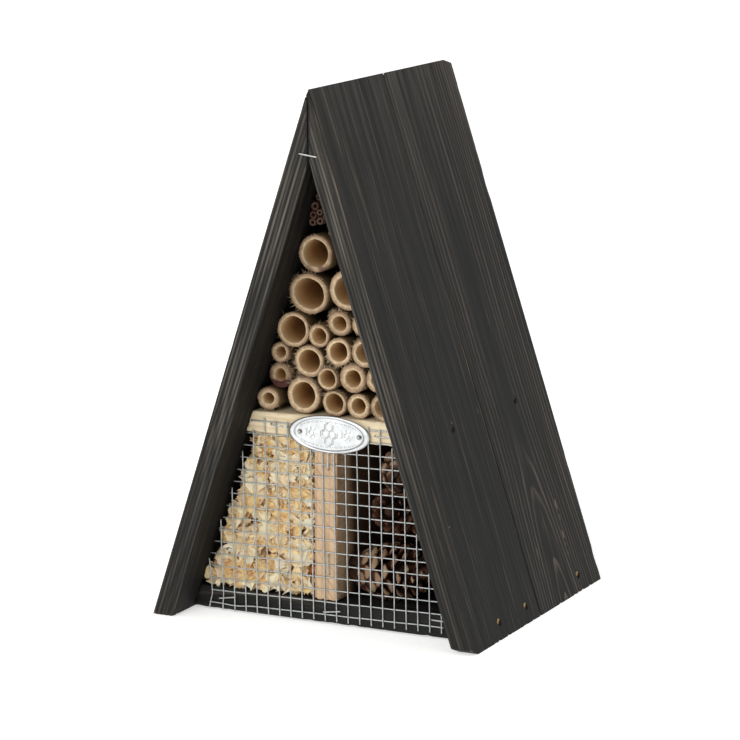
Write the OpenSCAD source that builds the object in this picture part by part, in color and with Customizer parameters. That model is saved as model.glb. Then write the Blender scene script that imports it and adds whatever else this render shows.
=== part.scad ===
// Insect hotel: a steep A-shaped house of dark-stained boards. A shelf divides it into a loft of
// bamboo canes and a lower floor, where a divider parts wood shavings from pine cones behind a
// welded wire mesh. The frame has +X to the right, +Y to the back and +Z up; its origin lies on
// the ground at the middle of the house.

/* [House] */
// Height from the feet to the ridge
house_h = 268.5; // [266:0.5:272]
// Depth of the sides, front to back
house_d = 162; // [160:0.5:176]
// Lean of each side from the vertical, in degrees
lean = 18.2; // [18.2:0.1:18.8]
// Thickness of every dark board
board_t = 11; // [10.6:0.1:11]
// Depth of the front board of each side
front_board_d = 82; // [76:1:90]
// Length of the right board's tip that laps over the left board at the ridge
ridge_lap = 4; // [0.5:0.5:8]

/* [Inside boards] */
// Distance from the sides' front edges back to the base, shelf and divider
set_back = 20.5; // [20:0.5:26]
// Height of the base's underside above the ground
base_z = 1; // [0.5:0.5:2]
// Height of the shelf's underside above the ground
shelf_z = 93.8; // [92:0.2:94]
// Thickness of the pale shelf
shelf_t = 11.5; // [10.5:0.5:11.5]
// Thickness of the divider
divider_t = 12.7; // [10:0.1:13]
// Middle of the divider, left of the house's middle when negative
divider_x = -1.5; // [-2.5:0.5:-1]
// Thickness of the back panel
back_t = 6; // [4:0.5:7]
// Distance from the sides' back edges in to the back panel
back_recess = 2.5; // [1:0.5:3]

/* [Wire mesh] */
// Spacing of the welded wires
mesh_pitch = 6.35; // [6.35:0.01:6.36]
// Diameter of the mesh wire
mesh_wire_d = 0.7; // [0.6:0.05:0.75]
// Tilt of the mesh as it was stapled on, right side up, in degrees
mesh_tilt = 1; // [0.9:0.05:1.1]
// Number of upright wires
mesh_uprights = 21; // [19:1:21]
// Number of cross wires
mesh_rows = 16; // [14:1:16]

/* [Name plate] */
// Width of the oval plate
plate_w = 44.4; // [40:0.2:46]
// Height of the oval plate
plate_h = 18.8; // [17:0.2:20]
// Thickness of the plate's sheet
plate_t = 0.5; // [0.4:0.05:0.6]
// Height of the rolled rim and the raised marks above the sheet
plate_relief = 0.5; // [0.3:0.05:0.6]

/* [Fasteners] */
// Outside width of a staple
staple_w = 10.2; // [10:0.1:10.4]
// Length of a staple's legs
staple_leg = 8; // [6:0.5:10]
// Shank diameter of the nails in the sides
nail_d = 1.6; // [1.2:0.1:1.8]
// Head diameter of the nails in the sides
nail_head_d = 3.4; // [3:0.1:4]
// Length of the nails in the sides
nail_l = 26; // [22:1:30]
// Diameter of the brads that hold the back panel
brad_d = 1; // [0.8:0.1:1.2]

/* [Filling] */
// Length of the longest bamboo cane
cane_l = 126; // [100:1:128]
// Wall of a thin reed
reed_wall = 0.85; // [0.6:0.05:1]
// Length of the thin reeds
reed_l = 122; // [90:1:126]

/* [Hidden] */
$fn = 48;
// Clearance between pieces that touch, and around a fastener in its hole
gap = 0.1;
fit = 0.03;

y_front = -house_d / 2;
y_back = house_d / 2;
y_seam = y_front + front_board_d;
y_inside = y_front + set_back;
y_back_panel = y_back - back_recess - back_t;
inside_d = y_back_panel - gap - y_inside;
base_top = base_z + board_t;
shelf_top = shelf_z + shelf_t;
half_w = house_h * tan(lean);
inner_half_w = half_w - board_t / cos(lean);
inner_apex = inner_half_w / tan(lean);

// Half the clear width between the sides at a height
function clear_half(z) = inner_half_w - z * tan(lean);

// Nail places along the sides, as distances back from the front edges
BASE_NAILS_Y = [36, 68.5, 136.5];
BASE_NAIL_Z = 8;
SHELF_NAILS_Y = [46, 122];
SHELF_NAIL_Z = shelf_z + 6;
DIVIDER_NAILS_Y = [48, 118];
// Brads run from the sides' back edges into the edges of the back panel
BRADS_Z = [51.5, 123.5, 178];
BRAD_L = 22;

// Staples over the mesh: [middle across, middle up, upright or not]
SHELF_STAPLES = [[-26.2, 98.9, false], [30.8, 98.6, false]];
BASE_STAPLES = [[-56.3, 7.6, false], [2.5, 7.4, false], [61.7, 9.9, false]];
DIVIDER_STAPLES = [[0.8, 84, true], [0.8, 31, true]];
STAPLE_WIRE_W = 1.2;
STAPLE_WIRE_T = 0.5;

MESH_X = -64.7;
MESH_Z = 4.2;
MESH_TAIL = 3;
MESH_TOP_TAIL = 1;
// Clearance between the mesh and the boards behind it
MESH_OFF = 0.02;

PLATE_X = 1.6;
PLATE_Z = 97.2;
PLATE_NAIL_X = 16.25;
PLATE_NAIL_D = 1;
PLATE_NAIL_HEAD = 2.4;
PLATE_NAIL_L = 12;

// Bamboo canes from the loft's peak down to the shelf:
// [across, up from the shelf, outside diameter, bore, front end behind the sides' front edges]
CANES = [
    [-5.4, 81.1, 18.8, 13.6, 18],
    [-10.6, 60.5, 21.7, 15.8, 21],
    [10.3, 63.6, 20.3, 14.4, 21.5],
    [-18.7, 42.2, 17.8, 13.6, 20],
    [-3.8, 40.6, 11.9, 8, 18],
    [6.9, 47.2, 12.9, 7.4, 19.5],
    [-26.5, 30.1, 10.5, 6, 21],
    [-10.7, 26.9, 16.4, 11.6, 21.5],
    [7.3, 33.6, 14.1, 9.6, 17.5],
    [22.1, 34.5, 14.5, 9.6, 16],
    [-27.8, 18.1, 13.2, 6.6, 23.5],
    [1.6, 19.9, 11.5, 8.6, 17],
    [14.8, 21.1, 14.8, 8.4, 18],
    [28.5, 21.5, 12.1, 6.6, 16.5],
    [-33.5, 6.2, 12.2, 6, 21],
    [-14.2, 9.4, 18.7, 13, 22],
    [2.8, 6.8, 13.5, 9.8, 22],
    [16.1, 6.7, 12.8, 7.8, 21.5],
    [29.7, 7.1, 14.1, 9, 21],
    [19.3, 47.4, 11.6, 6.2, 19],
    [4.6, 92.1, 8.8, 6, 21],
];
CANE_PLUG = 12;

// Thin reeds wedged under the ridge: [across, up from the ground, outside diameter]
REEDS = [
    [-3.9, 210.2, 4.2],
    [-5.5, 205.6, 3.9],
    [-6.7, 201.8, 3.7],
    [-1.3, 207.3, 3.3],
    [-1.8, 202.9, 3.8],
    [-3.2, 214.1, 3.3],
    [4.5, 203.7, 3.5],
    [1.2, 205, 3.2],
    [-0.2, 212.4, 3.2],
    [4.2, 207.8, 3.2],
    [1.3, 209.5, 3.1],
    [3.3, 212.1, 3.1],
    [-0.5, 216.1, 3.1],
    [6.9, 206, 2.9],
];
// Front end of the reeds behind the sides' front edges, and the steps between them
REED_FRONT = 14.5;
REED_STEP = 1.5;

// Pine cones on the right:
// [across, up, diameter, length, front behind the sides' front edges, lying across or not]
CONES = [
    [30.3, 26.2, 27.2, 46, 26, true],
    [47, 25.6, 25, 42, 56, false],
    [21.5, 53.6, 25.4, 42, 34, false],
    [46.6, 52, 22.6, 38, 30, false],
    [30.5, 78, 25, 40, 30, false],
    [20, 26.4, 26, 44, 58, false],
    [33, 59, 27, 44, 80, false],
];

function two(n) = str(n < 10 ? "0" : "", n);
function cane_name(i) = str("cane_", two(i + 1));
function cone_name(i) = str("pine_cone_", i + 1);

// A flat profile drawn across and up, carried back from y over a depth
module across(y, depth) {
    translate([0, y + depth, 0])
        rotate([90, 0, 0])
            linear_extrude(depth)
                children();
}

// ---- Fasteners. Each shape is also cut, a little larger, from the boards that it holds. ----

// Level nail driven from one side's outer face at a height; side is -1 left, 1 right
module side_nail(side, y, z, d, head_d, length, extra = 0) {
    face_x = half_w - (z + head_d / 2) * tan(lean);
    head_t = 0.8;
    translate([side * face_x, y, z])
        rotate([0, -side * 90, 0]) {
            cylinder(d = d + 2 * extra, h = length + extra);
            translate([0, 0, extra > 0 ? -4 : 0])
                cylinder(d = head_d + 2 * extra, h = head_t + extra + (extra > 0 ? 4 : 0));
        }
}

module base_nail_set(extra = 0) {
    for (side = [-1, 1], y = BASE_NAILS_Y)
        side_nail(side, y_front + y, BASE_NAIL_Z, nail_d, nail_head_d, nail_l, extra);
}

module shelf_nail_set(extra = 0) {
    for (side = [-1, 1], y = SHELF_NAILS_Y)
        side_nail(side, y_front + y, SHELF_NAIL_Z, nail_d, nail_head_d, nail_l, extra);
}

module brad_set(extra = 0) {
    brad_head_d = 1.8;
    for (side = [-1, 1], z = BRADS_Z)
        side_nail(side, y_back_panel + back_t / 2, z, brad_d, brad_head_d, BRAD_L, extra);
}

// Nails up through the base and down through the shelf into the divider, heads sunk flush
module divider_nail_set(extra = 0) {
    head_t = 0.8;
    sunk = 0.3;
    reach = extra > 0 ? 2 : 0;
    for (y = DIVIDER_NAILS_Y) {
        translate([divider_x, y_front + y, base_z + sunk]) {
            cylinder(d = nail_d + 2 * extra, h = nail_l + extra);
            translate([0, 0, -reach])
                cylinder(d = nail_head_d + 2 * extra, h = head_t + extra + reach);
        }
        translate([divider_x, y_front + y, shelf_top - sunk]) {
            translate([0, 0, -nail_l - extra])
                cylinder(d = nail_d + 2 * extra, h = nail_l + extra);
            translate([0, 0, -head_t - extra])
                cylinder(d = nail_head_d + 2 * extra, h = head_t + extra + reach);
        }
    }
}

// Flat-wire staple with its crown level at the origin and its legs running back
module staple(extra = 0) {
    tall = STAPLE_WIRE_W + 2 * extra;
    thick = STAPLE_WIRE_T + 2 * extra;
    translate([-staple_w / 2 - extra, -extra, -tall / 2])
        cube([staple_w + 2 * extra, thick, tall]);
    for (x = [-1, 1] * (staple_w - STAPLE_WIRE_T) / 2)
        translate([x - thick / 2, 0, -tall / 2])
            cube([thick, staple_leg + extra, tall]);
}

// Staples at a list of places, with the crown's back on the plane at y
module staple_set(places, y, extra = 0) {
    for (place = places)
        translate([place[0], y - STAPLE_WIRE_T, place[1]])
            rotate([0, place[2] ? 90 : 0, 0])
                staple(extra);
}

mesh_front = y_inside - 2 * mesh_wire_d - MESH_OFF;
RIDGE_STAPLE = [[0, inner_apex + 3.6, false]];

// ---- Sides ----

// Outline of the right side: a vertical mitre under the tip that laps over the left side
module right_profile() {
    lap_x = ridge_lap * sin(lean);
    lap_z = ridge_lap * cos(lean);
    polygon([
        [0, house_h],
        [-lap_x, house_h - lap_z],
        [0, house_h - 2 * lap_z],
        [0, inner_apex],
        [inner_half_w, 0],
        [half_w, 0],
    ]);
}

// Outline of the left side, with the notch that takes the right side's tip
module left_profile() {
    difference() {
        mirror([1, 0])
            polygon([[0, house_h], [0, inner_apex], [inner_half_w, 0], [half_w, 0]]);
        offset(delta = gap / 2)
            right_profile();
    }
}

module side_cuts() {
    base_nail_set(fit);
    shelf_nail_set(fit);
    brad_set(fit);
    staple_set(RIDGE_STAPLE, y_front - fit, fit);
}

module left_front_board() {
    color("#2b2927")
        difference() {
            across(y_front, front_board_d - gap / 2) left_profile();
            side_cuts();
        }
}

module left_rear_board() {
    color("#2b2927")
        difference() {
            across(y_seam + gap / 2, y_back - y_seam - gap / 2) left_profile();
            side_cuts();
        }
}

module right_front_board() {
    color("#33312f")
        difference() {
            across(y_front, front_board_d - gap / 2) right_profile();
            side_cuts();
        }
}

module right_rear_board() {
    color("#33312f")
        difference() {
            across(y_seam + gap / 2, y_back - y_seam - gap / 2) right_profile();
            side_cuts();
        }
}

// ---- Inside boards ----

// Outline of a level board whose ends follow the sides
module level_profile(z, t) {
    low = clear_half(z) - gap;
    high = clear_half(z + t) - gap;
    polygon([[-low, z], [low, z], [high, z + t], [-high, z + t]]);
}

module base_board() {
    color("#35322f")
        difference() {
            across(y_inside, inside_d) level_profile(base_z, board_t);
            base_nail_set(fit);
            divider_nail_set(fit);
            staple_set(BASE_STAPLES, mesh_front, fit);
        }
}

module shelf_board() {
    color("#dcc9a4")
        difference() {
            across(y_inside, inside_d) level_profile(shelf_z, shelf_t);
            shelf_nail_set(fit);
            divider_nail_set(fit);
            staple_set(SHELF_STAPLES, mesh_front, fit);
            plate_nail_set(fit);
        }
}

module divider_board() {
    color("#c9a182")
        difference() {
            translate([divider_x - divider_t / 2, y_inside, base_top + gap])
                cube([divider_t, inside_d, shelf_z - base_top - 2 * gap]);
            divider_nail_set(fit);
            staple_set(DIVIDER_STAPLES, mesh_front, fit);
        }
}

module back_panel() {
    top = inner_apex - gap / sin(lean);
    color("#2f2c29")
        difference() {
            across(y_back_panel, back_t)
                polygon([
                    [-clear_half(base_z) + gap, base_z],
                    [clear_half(base_z) - gap, base_z],
                    [0, top],
                ]);
            brad_set(fit);
        }
}

module base_nails() {
    color("#a58a52") base_nail_set();
}

module shelf_nails() {
    color("#a58a52") shelf_nail_set();
}

module divider_nails() {
    color("#b9b9b4") divider_nail_set();
}

module back_brads() {
    color("#b9b9b4") brad_set();
}

// ---- Mesh, staples and plate ----

// Height, on the tilted mesh, up to which the wire at x stays clear of the sides
function wire_top(x) = min(MESH_Z + (mesh_rows - 1) * mesh_pitch, (inner_half_w - abs(x) - 3) / tan(lean));

// Last cross wire that the upright at x reaches
function top_row(x) = floor((wire_top(x) - MESH_Z) / mesh_pitch);

module wire_mesh() {
    wire_r = mesh_wire_d / 2;
    first_x = MESH_X;
    last_x = MESH_X + (mesh_uprights - 1) * mesh_pitch;
    weld_bite = 0.1 * mesh_wire_d;
    cross_y = y_inside - wire_r - MESH_OFF;
    upright_y = cross_y - mesh_wire_d + weld_bite;
    color("#b7bbbb")
        translate([MESH_X, 0, MESH_Z])
            rotate([0, -mesh_tilt, 0])
                translate([-MESH_X, 0, -MESH_Z]) {
                    for (i = [0 : mesh_uprights - 1]) {
                        x = MESH_X + i * mesh_pitch;
                        tall = top_row(x) * mesh_pitch + MESH_TAIL + MESH_TOP_TAIL;
                        translate([x, upright_y, MESH_Z - MESH_TAIL])
                            cylinder(r = wire_r, h = tall, $fn = 16);
                    }
                    for (j = [0 : mesh_rows - 1]) {
                        z = MESH_Z + j * mesh_pitch;
                        reach = clear_half(z) - 3;
                        left = max(-reach, first_x - 1);
                        right = min(reach, last_x + 1);
                        translate([left, cross_y, z])
                            rotate([0, 90, 0])
                                cylinder(r = wire_r, h = right - left, $fn = 16);
                    }
                }
}

module ridge_staple() {
    color("#c4c4c0") staple_set(RIDGE_STAPLE, y_front - gap);
}

module shelf_staples() {
    color("#c4c4c0") staple_set(SHELF_STAPLES, mesh_front - gap / 2);
}

module base_staples() {
    color("#c4c4c0") staple_set(BASE_STAPLES, mesh_front - gap / 2);
}

module divider_staples() {
    color("#c4c4c0") staple_set(DIVIDER_STAPLES, mesh_front - gap / 2);
}

// Oval outline, grown or shrunk by a margin
module plate_oval(margin = 0) {
    a = plate_w / 2 + margin;
    b = plate_h / 2 + margin;
    polygon([for (t = [0 : 5 : 355]) [a * cos(t), b * sin(t)]]);
}

// Six-sided comb cell drawn as a ring
module comb_cell(r, wall) {
    difference() {
        circle(r, $fn = 6);
        circle(r - wall, $fn = 6);
    }
}

// Plate lying in the plane of the paper, face up
module plate_blank() {
    rim_w = 1.1;
    cell_r = 2.3;
    cell_wall = 0.6;
    cell_step = 2.5 * cell_r;
    difference() {
        union() {
            linear_extrude(plate_t) plate_oval();
            linear_extrude(plate_t + plate_relief)
                difference() {
                    plate_oval();
                    plate_oval(-rim_w);
                }
            for (x = [-1, 0, 1] * cell_step)
                translate([x, 0, 0])
                    linear_extrude(plate_t + plate_relief)
                        comb_cell(cell_r, cell_wall);
        }
        for (x = [-1, 1] * PLATE_NAIL_X)
            translate([x, 0, -1])
                cylinder(d = PLATE_NAIL_D + 0.6, h = 3);
    }
}

module name_plate() {
    color("#d5d8d6")
        translate([PLATE_X, mesh_front - gap, PLATE_Z])
            rotate([90, 0, 0])
                plate_blank();
}

module plate_nail_set(extra = 0) {
    head_back = mesh_front - gap - plate_t - gap;
    for (x = [-1, 1] * PLATE_NAIL_X)
        translate([PLATE_X + x, head_back, PLATE_Z])
            rotate([-90, 0, 0]) {
                cylinder(d = PLATE_NAIL_D + 2 * extra, h = PLATE_NAIL_L + extra, $fn = 24);
                translate([0, 0, -0.6])
                    cylinder(d1 = PLATE_NAIL_HEAD * 0.6, d2 = PLATE_NAIL_HEAD, h = 0.6, $fn = 24);
            }
}

module plate_nails() {
    color("#cfcfca") plate_nail_set();
}

// ---- Filling ----

// Hollow cane closed at its far end by its own joint, with worn round rims
module cane(i) {
    spec = CANES[i];
    r = spec[2] / 2;
    bore = spec[3] / 2;
    length = cane_l - 5 * (i % 4);
    soft = min(0.9, (r - bore) / 2.5);
    color(i % 3 == 0 ? "#cdb189" : "#c4a67c")
        translate([spec[0], y_front + spec[4], shelf_top + spec[1]])
            rotate([-90, 0, 0])
                rotate_extrude()
                    polygon([
                        [0, length - CANE_PLUG],
                        [bore, length - CANE_PLUG],
                        [bore, soft],
                        [bore + 0.3 * soft, 0.3 * soft],
                        [bore + soft, 0],
                        [r - soft, 0],
                        [r - 0.3 * soft, 0.3 * soft],
                        [r, soft],
                        [r, length],
                        [0, length],
                    ]);
}

// Thin hollow stems wedged between the sides under the ridge
module reed_bundle() {
    color("#8d7350")
        for (i = [0 : len(REEDS) - 1])
            translate([REEDS[i][0], y_front + REED_FRONT + REED_STEP * (i % 3), REEDS[i][1]])
                rotate([-90, 0, 0])
                    difference() {
                        cylinder(d = REEDS[i][2], h = reed_l, $fn = 24);
                        translate([0, 0, -1])
                            cylinder(d = REEDS[i][2] - 2 * reed_wall, h = reed_l + 2, $fn = 24);
                    }
}

// The heap of wood shavings that fills the lower left, as one soft-edged mass
module wood_shavings() {
    soft = 5;
    margin = soft + 1;
    foot_z = base_top + margin;
    head_z = shelf_z - margin;
    left_x = function(z) -clear_half(z) + margin / cos(lean);
    right_x = divider_x - divider_t / 2 - margin;
    heap_d = 102;
    foot_back = 3;
    color("#dfc08c")
        hull()
            for (z = [foot_z, head_z], x = [left_x(z), right_x], y = [0, heap_d])
                translate([x, y_inside + margin + y + (z == foot_z && y == 0 ? foot_back : 0), z])
                    sphere(soft, $fn = 24);
}

// Pine cone lying front to back or across, as a revolved body with stepped rows of scales
module pine_cone(i) {
    spec = CONES[i];
    r = spec[2] / 2;
    length = spec[3];
    rows = 9;
    step = length / rows;
    // Body radius at a share of the length, blunt at the stalk end and drawn in at the tip
    swell = function(t) r * pow(sin(180 * pow(t, 0.75)), 0.7);
    across = spec[5];
    color(across ? "#8c7558" : "#6a4630")
        translate([
            spec[0] - (across ? length / 2 : 0),
            y_front + spec[4] + (across ? r : 0),
            spec[1],
        ])
            rotate(across ? [0, 90, 0] : [-90, 0, 0])
                rotate_extrude()
                    polygon(concat(
                        [[0, 0]],
                        [for (k = [1 : rows - 1], edge = [0, 1])
                            [swell(k / rows) * (edge == 0 ? 1 : 0.86), (k + edge * 0.25) * step]],
                        [[0, length]]
                    ));
}

left_front_board();
left_rear_board();
right_front_board();
right_rear_board();
base_board();
shelf_board();
divider_board();
back_panel();
base_nails();
shelf_nails();
divider_nails();
back_brads();
wire_mesh();
ridge_staple();
shelf_staples();
base_staples();
divider_staples();
name_plate();
plate_nails();
reed_bundle();
wood_shavings();
for (i = [0 : len(CANES) - 1])
    cane(i);
for (i = [0 : len(CONES) - 1])
    pine_cone(i);
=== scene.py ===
# %% [markdown]
# # A triangular insect hotel
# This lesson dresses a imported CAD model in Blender. The house is a steep A of black-stained
# boards. Its loft holds bamboo canes, and a mesh closes the floor below, where a pale divider
# parts wood shavings from pine cones. The CAD model sets every size and place; each cell here
# rebuilds one kind of piece so that it looks like the real thing.

# %% Load the frame
import math
import random

import bmesh
import bpy
import numpy as np
from mathutils import Matrix, Vector, noise


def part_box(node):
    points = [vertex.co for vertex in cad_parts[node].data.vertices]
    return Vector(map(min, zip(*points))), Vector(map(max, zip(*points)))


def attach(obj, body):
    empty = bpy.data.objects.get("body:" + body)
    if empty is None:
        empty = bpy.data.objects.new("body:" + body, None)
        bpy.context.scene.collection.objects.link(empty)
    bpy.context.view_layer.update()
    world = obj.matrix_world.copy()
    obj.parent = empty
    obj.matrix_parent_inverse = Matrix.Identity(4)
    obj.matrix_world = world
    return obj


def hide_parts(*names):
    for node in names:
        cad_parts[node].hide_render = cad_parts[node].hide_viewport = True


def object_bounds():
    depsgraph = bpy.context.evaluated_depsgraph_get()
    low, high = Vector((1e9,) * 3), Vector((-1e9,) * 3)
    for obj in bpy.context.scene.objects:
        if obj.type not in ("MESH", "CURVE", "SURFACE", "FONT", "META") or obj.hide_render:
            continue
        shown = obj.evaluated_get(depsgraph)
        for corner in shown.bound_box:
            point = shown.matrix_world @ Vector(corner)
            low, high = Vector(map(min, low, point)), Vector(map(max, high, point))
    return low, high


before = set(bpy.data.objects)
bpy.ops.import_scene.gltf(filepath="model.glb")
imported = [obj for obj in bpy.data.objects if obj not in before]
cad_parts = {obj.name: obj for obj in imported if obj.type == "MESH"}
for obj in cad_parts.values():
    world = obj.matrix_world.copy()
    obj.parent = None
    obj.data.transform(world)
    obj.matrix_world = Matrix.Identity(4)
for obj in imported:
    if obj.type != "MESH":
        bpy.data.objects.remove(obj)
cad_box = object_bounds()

MM = 0.001
low, high = cad_box
print("CAD box, mm:", [round(v / MM, 1) for v in (*low, *high)])

# %% [markdown]
# ## Measures taken from the frame
# Everything is placed from the CAD nodes' own boxes. The lean of the sides comes from the
# half width and the height of the house, and the small helpers below turn a place on a side
# board into a place in the room and back.

# %% Measures of the house
HOUSE_H = high.z / MM
LEAN = math.atan(high.x / high.z)
FRONT_Y = low.y / MM
base_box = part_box("base_board")
INSIDE_Y = base_box[0].y / MM
INSIDE_BACK = base_box[1].y / MM
BASE_TOP = base_box[1].z / MM
SHELF_LOW, SHELF_TOP = (v.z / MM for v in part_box("shelf_board"))
SIDE_T = HOUSE_H * math.sin(LEAN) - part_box("back_panel")[1].z / MM * math.sin(LEAN)
INNER_HALF = HOUSE_H * math.tan(LEAN) - SIDE_T / math.cos(LEAN)


def clear_half(z):
    """Half the clear width between the sides at a height, in millimetres."""
    return INNER_HALF - z * math.tan(LEAN)


print("lean", round(math.degrees(LEAN), 2), "side thickness", round(SIDE_T, 2), "clear half", round(INNER_HALF, 1))

# %% [markdown]
# ## Working tools
# Four small tools serve the whole lesson. `linear` turns a colour, written as a
# hex value, into the linear light that shaders need. `add` puts one node into a material with
# its settings and links. `build` makes an object from lists of points and faces, and `keep`
# tells the frame which body it rides on and which CAD nodes it stands for.


# %% Colour and nodes
def linear(hex_colour):
    """An sRGB hex colour as linear red, green, blue and alpha."""
    parts = [int(hex_colour[i:i + 2], 16) / 255 for i in (1, 3, 5)]
    return [p / 12.92 if p <= 0.04045 else ((p + 0.055) / 1.055) ** 2.4 for p in parts] + [1.0]


def add(material, kind, inputs=None, stops=None, **settings):
    """Adds a node. inputs maps a socket to a value or to a node whose first output feeds it."""
    node = material.node_tree.nodes.new(kind)
    for name, value in settings.items():
        setattr(node, name, value)
    for socket, value in (inputs or {}).items():
        if isinstance(value, bpy.types.Node):
            value = value.outputs[0]
        if isinstance(value, bpy.types.NodeSocket):
            material.node_tree.links.new(value, node.inputs[socket])
        else:
            node.inputs[socket].default_value = value
    if stops:
        elements = node.color_ramp.elements
        while len(elements) < len(stops):
            elements.new(0.5)
        for element, (place, colour) in zip(elements, stops):
            element.position = place
            element.color = linear(colour) if isinstance(colour, str) else (colour,) * 3 + (1,)
    return node


def fresh(name):
    """An empty node material."""
    material = bpy.data.materials.new(name)
    material.use_nodes = True
    material.node_tree.nodes.clear()
    return material


# %% Meshes and the frame
def build(name, points, faces, materials, slots=None, smooth=True):
    """A mesh object from points in millimetres; slots gives each face its material number."""
    mesh = bpy.data.meshes.new(name)
    mesh.from_pydata((np.asarray(points, float) * MM).tolist(), [], faces)
    for material in materials:
        mesh.materials.append(material)
    if slots is not None:
        mesh.polygons.foreach_set("material_index", np.asarray(slots, np.int32))
    mesh.polygons.foreach_set("use_smooth", np.full(len(mesh.polygons), smooth))
    mesh.update()
    piece = bpy.data.objects.new(name, mesh)
    bpy.context.scene.collection.objects.link(piece)
    return piece


def paint(piece, name, values):
    """Stores one number, or one vector, on each point for the material to read."""
    values = np.asarray(values, np.float32)
    kind, slot = ("FLOAT", "value") if values.ndim == 1 else ("FLOAT_VECTOR", "vector")
    layer = piece.data.attributes.new(name, kind, "POINT")
    layer.data.foreach_set(slot, values.ravel())


def keep(piece, slot, *nodes):
    """The piece rides on the house and stands for CAD nodes, which it hides; slot is not used."""
    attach(piece, "root")
    if nodes:
        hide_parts(*nodes)
    print(piece.name, len(piece.data.vertices), "points")


# %% [markdown]
# ## Camera, light and floor
# A long lens from the front right and a little above keeps the sides of the A nearly parallel.
# The floor is one pale sheet that curves up behind the house, so that no horizon shows. Two
# large soft boxes and a bright surround give the even light of a product studio; the front
# one is a little stronger so that the canes' ends stand out from their dark bores.

# %% Camera
LENS_MM = 159.16
CAMERA_AT = Vector((706.3, -1459.3, 441.8)) * MM
CAMERA_YAW = math.radians(-26.035)
CAMERA_DIP = math.radians(11.293)
aim = Vector((
    math.sin(CAMERA_YAW) * math.cos(CAMERA_DIP),
    math.cos(CAMERA_YAW) * math.cos(CAMERA_DIP),
    -math.sin(CAMERA_DIP),
))
camera_data = bpy.data.cameras.new("studio_camera")
camera_data.lens = LENS_MM
camera_data.sensor_width = 36
camera_data.clip_start = 0.05
camera = bpy.data.objects.new("studio_camera", camera_data)
camera.location = CAMERA_AT
camera.rotation_euler = aim.to_track_quat("-Z", "Y").to_euler()
bpy.context.scene.collection.objects.link(camera)
bpy.context.scene.camera = camera
bpy.context.scene.view_settings.view_transform = "Standard"
print("camera to ridge", round((CAMERA_AT - Vector((0, 0, high.z))).length, 3), "m")


# %% Studio
def soft_box(name, place, target, size, power, colour="#ffffff"):
    """A large square area light aimed at a point."""
    data = bpy.data.lights.new(name, "AREA")
    data.size = size
    data.energy = power
    data.color = linear(colour)[:3]
    lamp = bpy.data.objects.new(name, data)
    lamp.location = place
    lamp.rotation_euler = (Vector(target) - Vector(place)).to_track_quat("-Z", "Y").to_euler()
    bpy.context.scene.collection.objects.link(lamp)


soft_box("front_soft_box", (-0.1, -1.7, 0.85), (0, 0, 0.12), 1.0, 16)
soft_box("top_soft_box", (0.3, -0.2, 1.6), (0, 0, 0.1), 1.3, 5)
soft_box("side_soft_box", (-1.2, -1.1, 0.7), (0, 0, 0.12), 1.0, 3)

surround = bpy.data.worlds.new("studio_surround")
bpy.context.scene.world = surround
surround.use_nodes = True
surround.node_tree.nodes["Background"].inputs["Color"].default_value = linear("#ffffff")
surround.node_tree.nodes["Background"].inputs["Strength"].default_value = 0.32

# %% Floor
white_sheet = fresh("pale_studio_sheet")
sheet_grain = add(white_sheet, "ShaderNodeTexNoise", {"Scale": 6.0, "Detail": 3.0})
sheet_colour = add(white_sheet, "ShaderNodeValToRGB", {"Fac": sheet_grain},
                   stops=[(0.3, "#f6f6f5"), (0.7, "#fafaf9")])
sheet_surface = add(white_sheet, "ShaderNodeBsdfPrincipled",
                    {"Base Color": sheet_colour, "Roughness": 0.9, "Emission Color": linear("#ffffff"),
                     "Emission Strength": 0.5})
add(white_sheet, "ShaderNodeOutputMaterial", {"Surface": sheet_surface})

SHEET_HALF = 4000
SHEET_FLAT = 1600
SHEET_CURVE = 900
sweep = [(-3000, 0), (SHEET_FLAT, 0)]
for step in range(1, 17):
    turn = math.radians(90 * step / 16)
    sweep.append((SHEET_FLAT + SHEET_CURVE * math.sin(turn), SHEET_CURVE * (1 - math.cos(turn))))
sweep.append((SHEET_FLAT + SHEET_CURVE, 3500))
sheet_points = [(x, y, z) for y, z in sweep for x in (-SHEET_HALF, SHEET_HALF)]
sheet_faces = [(2 * i, 2 * i + 1, 2 * i + 3, 2 * i + 2) for i in range(len(sweep) - 1)]
floor = build("studio_floor", sheet_points, sheet_faces, [white_sheet])

# %% [markdown]
# ## The stained boards
# The boards are planed softwood, about 11 mm thick, brushed with a thin charcoal stain. Such a
# stain sinks into the soft early wood and sits thinly on the hard late wood, so each growth
# ring shows as a finer, browner line, and it wears through to tan along the edges.
# The rings are worked out for each board as the distance from the pith of its tree, which lies
# a little below the face and slightly askew. One number then gives straight lines where the
# board was cut far from the pith, and arches where it was cut across the rings.


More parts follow.
